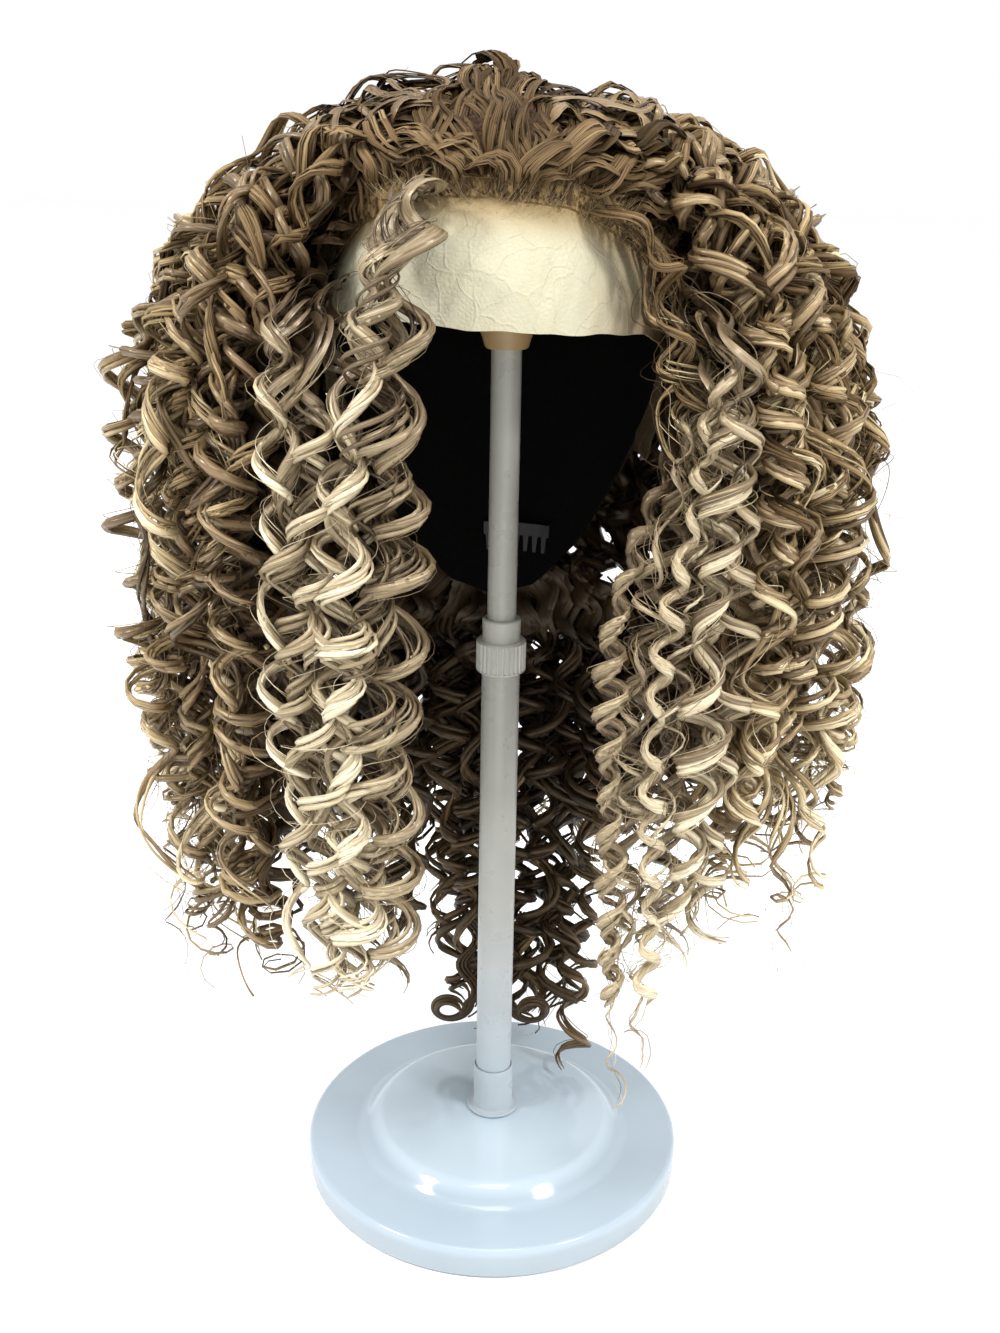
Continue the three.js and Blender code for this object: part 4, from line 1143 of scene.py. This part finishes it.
def buildFront():
    left, right = newTuft(), newTuft()
    addFront(left, bunch)
    addFront(right, ringlets)
    for points in trails:
        addLock(right, points, trailStyle)
    finishPiece(tuftMesh("front_bunch", left), blondHair, "blond_hair", "front_lock_left")
    finishPiece(tuftMesh("blond_ringlets", right), blondHair, "blond_hair", "front_ringlets_right")


buildFront()
print("front locks built")


# Long dark locks from the nape, down to the foot, dark partly as darker hair and partly as painted shade
nape = {"rootHeight": 335.0, "topHeight": 290.0, "halfWidth": 95, "pitch": (27, 33), "rows": (
    {"depth": 104.0, "foot": 74.0, "from": -36.0, "to": 58.0, "tips": (90, 36, 30, 34, 36, 32, 34, 44, 104)},
    {"depth": 86.0, "foot": 60.0, "from": -30.0, "to": 54.0, "tips": (114, 62, 42, 36, 38, 26, 66)},
    {"depth": 62.0, "foot": 34.0, "from": -84.0, "to": -48.0, "tips": (128, 112, 102, 110)},
    {"depth": 66.0, "foot": 58.0, "from": 55.0, "to": 86.0, "tips": (150, 158, 164, 172)})}
napeStyle = {"coil": 9.5, "pitch": 30.0, "band": 6.0, "ropes": 3, "wide": 2.5, "strays": 1, "segment": 6.4,
             "rootSpread": 14.0, "rootCurl": 0.4, "curlFrom": 40.0, "sway": 2.5, "fuzz": 0.5, "mottle": 0.06,
             "taperFrom": 0.92, "tone": (0.10, 0.18, 0.28)}
# two locks that end in a round loop beside the pole, and one curl that hangs down onto the foot
napeLoops = ({"at": (-27, 60, 60), "radius": 10.0, "from": 116.0, "hand": 1, "tone": 0.28},
             {"at": (22, 60, 60), "radius": 10.5, "from": 116.0, "hand": -1, "tone": 0.32})
hangingCurl = {"points": ((40, 74, 150), (45, 60, 104), (49, 46, 64), (46, 34, 31)),
               "style": {"coil": 8.5, "pitch": 29.0, "ropes": 3, "wide": 1.6, "rootSpread": 3.0,
                         "rootCurl": 0.8, "curlFrom": 10.0, "sway": 0.6, "segment": 3.8, "band": 3.0,
                         "fuzz": 0.2, "drift": 0.01, "trim": 0.97, "taperFrom": 0.95,
                         "tone": (0.18, 0.28, 0.36)}}


def addLoop(tuft, loop):
    middle = np.array(loop["at"], float)
    bend = np.linspace(0, 1, 30)
    turn = np.radians(350 * bend)
    for offset in (-2.1, 0.0, 2.1):
        inward = 1 - (0.34 + rng.uniform(-0.1, 0.1)) * bend
        radius = loop["radius"] + offset * (1 - 0.3 * bend)
        ring = np.stack([loop["hand"] * np.cos(turn), np.zeros(len(turn)), -np.sin(turn)], axis=1)
        ring = ring * (radius * inward)[:, None]
        ring[:, 0] *= 1.12
        ring[:, 1] = -11 * bend + offset * (0.4 + bend)
        drop = np.linspace(loop["from"] - middle[2], 3, 18)
        sway = np.stack([5 * np.sin(drop / 5), 0.3 * drop, drop], axis=1) * np.array((loop["hand"], 1, 1))
        centres = middle + np.vstack([sway + ring[0], ring])
        face = np.tile((0.0, -1.0, 0.15), (len(centres), 1))
        s = np.linspace(0, 1, len(centres))
        wide = 1.5 * (0.6 + 0.4 * smoothStep(0, 0.2, s)) * (1 - 0.6 * smoothStep(0.9, 1, s))
        tone = loop["tone"] * (0.6 + 0.4 * s) + rng.normal(0, 0.03)
        addRope(tuft, centres, face, wide, wide * 0.7, tone, 4)


def buildNape():
    tuft = newTuft()
    for row in nape["rows"]:
        for i, tip in enumerate(row["tips"]):
            x = row["from"] + (row["to"] - row["from"]) * i / (len(row["tips"]) - 1)
            azimuth = 180 - math.degrees(math.asin((x - head["centreX"]) / nape["halfWidth"]))
            root = headPoint(azimuth, nape["rootHeight"], 4.0)
            top = np.array((x, row["depth"], nape["topHeight"]))
            end = np.array((x * 0.98, row["foot"], tip))
            style = dict(napeStyle, pitch=rng.uniform(*nape["pitch"]))
            addLock(tuft, [root, top, (top + end) / 2, end], style)
    for loop in napeLoops:
        addLoop(tuft, loop)
    addLock(tuft, hangingCurl["points"], dict(napeStyle, **hangingCurl["style"]))
    piece = tuftMesh("nape_curls", tuft)
    finishPiece(piece, darkHair, "dark_hair", "hair_back")


buildNape()
print("nape built")


# Loose hairs: frizz round the curls and the short golden hairs along the lace
frizz = {"count": 460, "width": 0.34, "thins": 0.6, "length": (35, 110), "steps": 15, "falling": 0.6,
         "spread": 0.35, "sway": 5.0, "tone": (0.45, 0.8)}
babyHairs = {"count": 320, "width": 0.16, "thins": 0.5, "length": (9, 22), "steps": 8, "from": -50.0,
             "to": 62.0, "sway": 0.6, "tone": (0.58, 0.85)}


def addHair(tuft, centres, face, kind):
    # one round hair that thins towards its tip
    count = len(centres)
    half = kind["width"] * (1 - kind["thins"] * np.linspace(0, 1, count)) / 2
    tone = np.full(count, rng.uniform(*kind["tone"]))
    addRope(tuft, centres, np.tile(face, (count, 1)), half, half, tone, 3)


def buildLooseHairs():
    tuft = newTuft()
    s = np.linspace(0, 1, frizz["steps"])
    for _ in range(frizz["count"]):
        azimuth = signedAzimuth(rng.uniform(54, 306))
        falls = rng.random() < frizz["falling"]
        start = bellPoint(azimuth, rng.uniform(0.9, 1.08), rng.uniform(-8, 15 if falls else 70))
        if falls:
            start[2] -= rng.uniform(0, 200)
        length = rng.uniform(*frizz["length"])
        drop = np.array((rng.normal(0, frizz["spread"]), rng.normal(0, frizz["spread"]), -1.0))
        sway = wander(s, frizz["sway"], (1.1, 2.2, 3.4))
        centres = insideBox(start + unit(drop) * length * s[:, None] + sway)
        addHair(tuft, centres, start - np.array((0, bell["centreY"], start[2] - 1)), frizz)
    s = np.linspace(0, 1, babyHairs["steps"])
    for _ in range(babyHairs["count"]):
        azimuth = rng.uniform(babyHairs["from"], babyHairs["to"])
        edge = float(edgeHeight(azimuth, "cap"))
        root = headPoint(azimuth, edge + 3 - 12 * rng.random() ** 2, 0.6)
        length = rng.uniform(*babyHairs["length"])
        lean = np.array((rng.normal(0.5 if azimuth > 0 else -0.4, 0.5), -0.45, rng.uniform(0.3, 0.9)))
        back = np.array((0, 0.9, 0.3)) * length
        centres = root + unit(lean) * length * s[:, None] + back * (s[:, None] ** 2) * 0.7
        centres += wander(s, babyHairs["sway"], (1.0, 2.0)) * s[:, None]
        addHair(tuft, centres, (0.0, -1.0, 0.3), babyHairs)
    piece = tuftMesh("loose_hairs", tuft)
    finishPiece(piece, brownHair, "brown_hair")


buildLooseHairs()
print("loose hairs built")
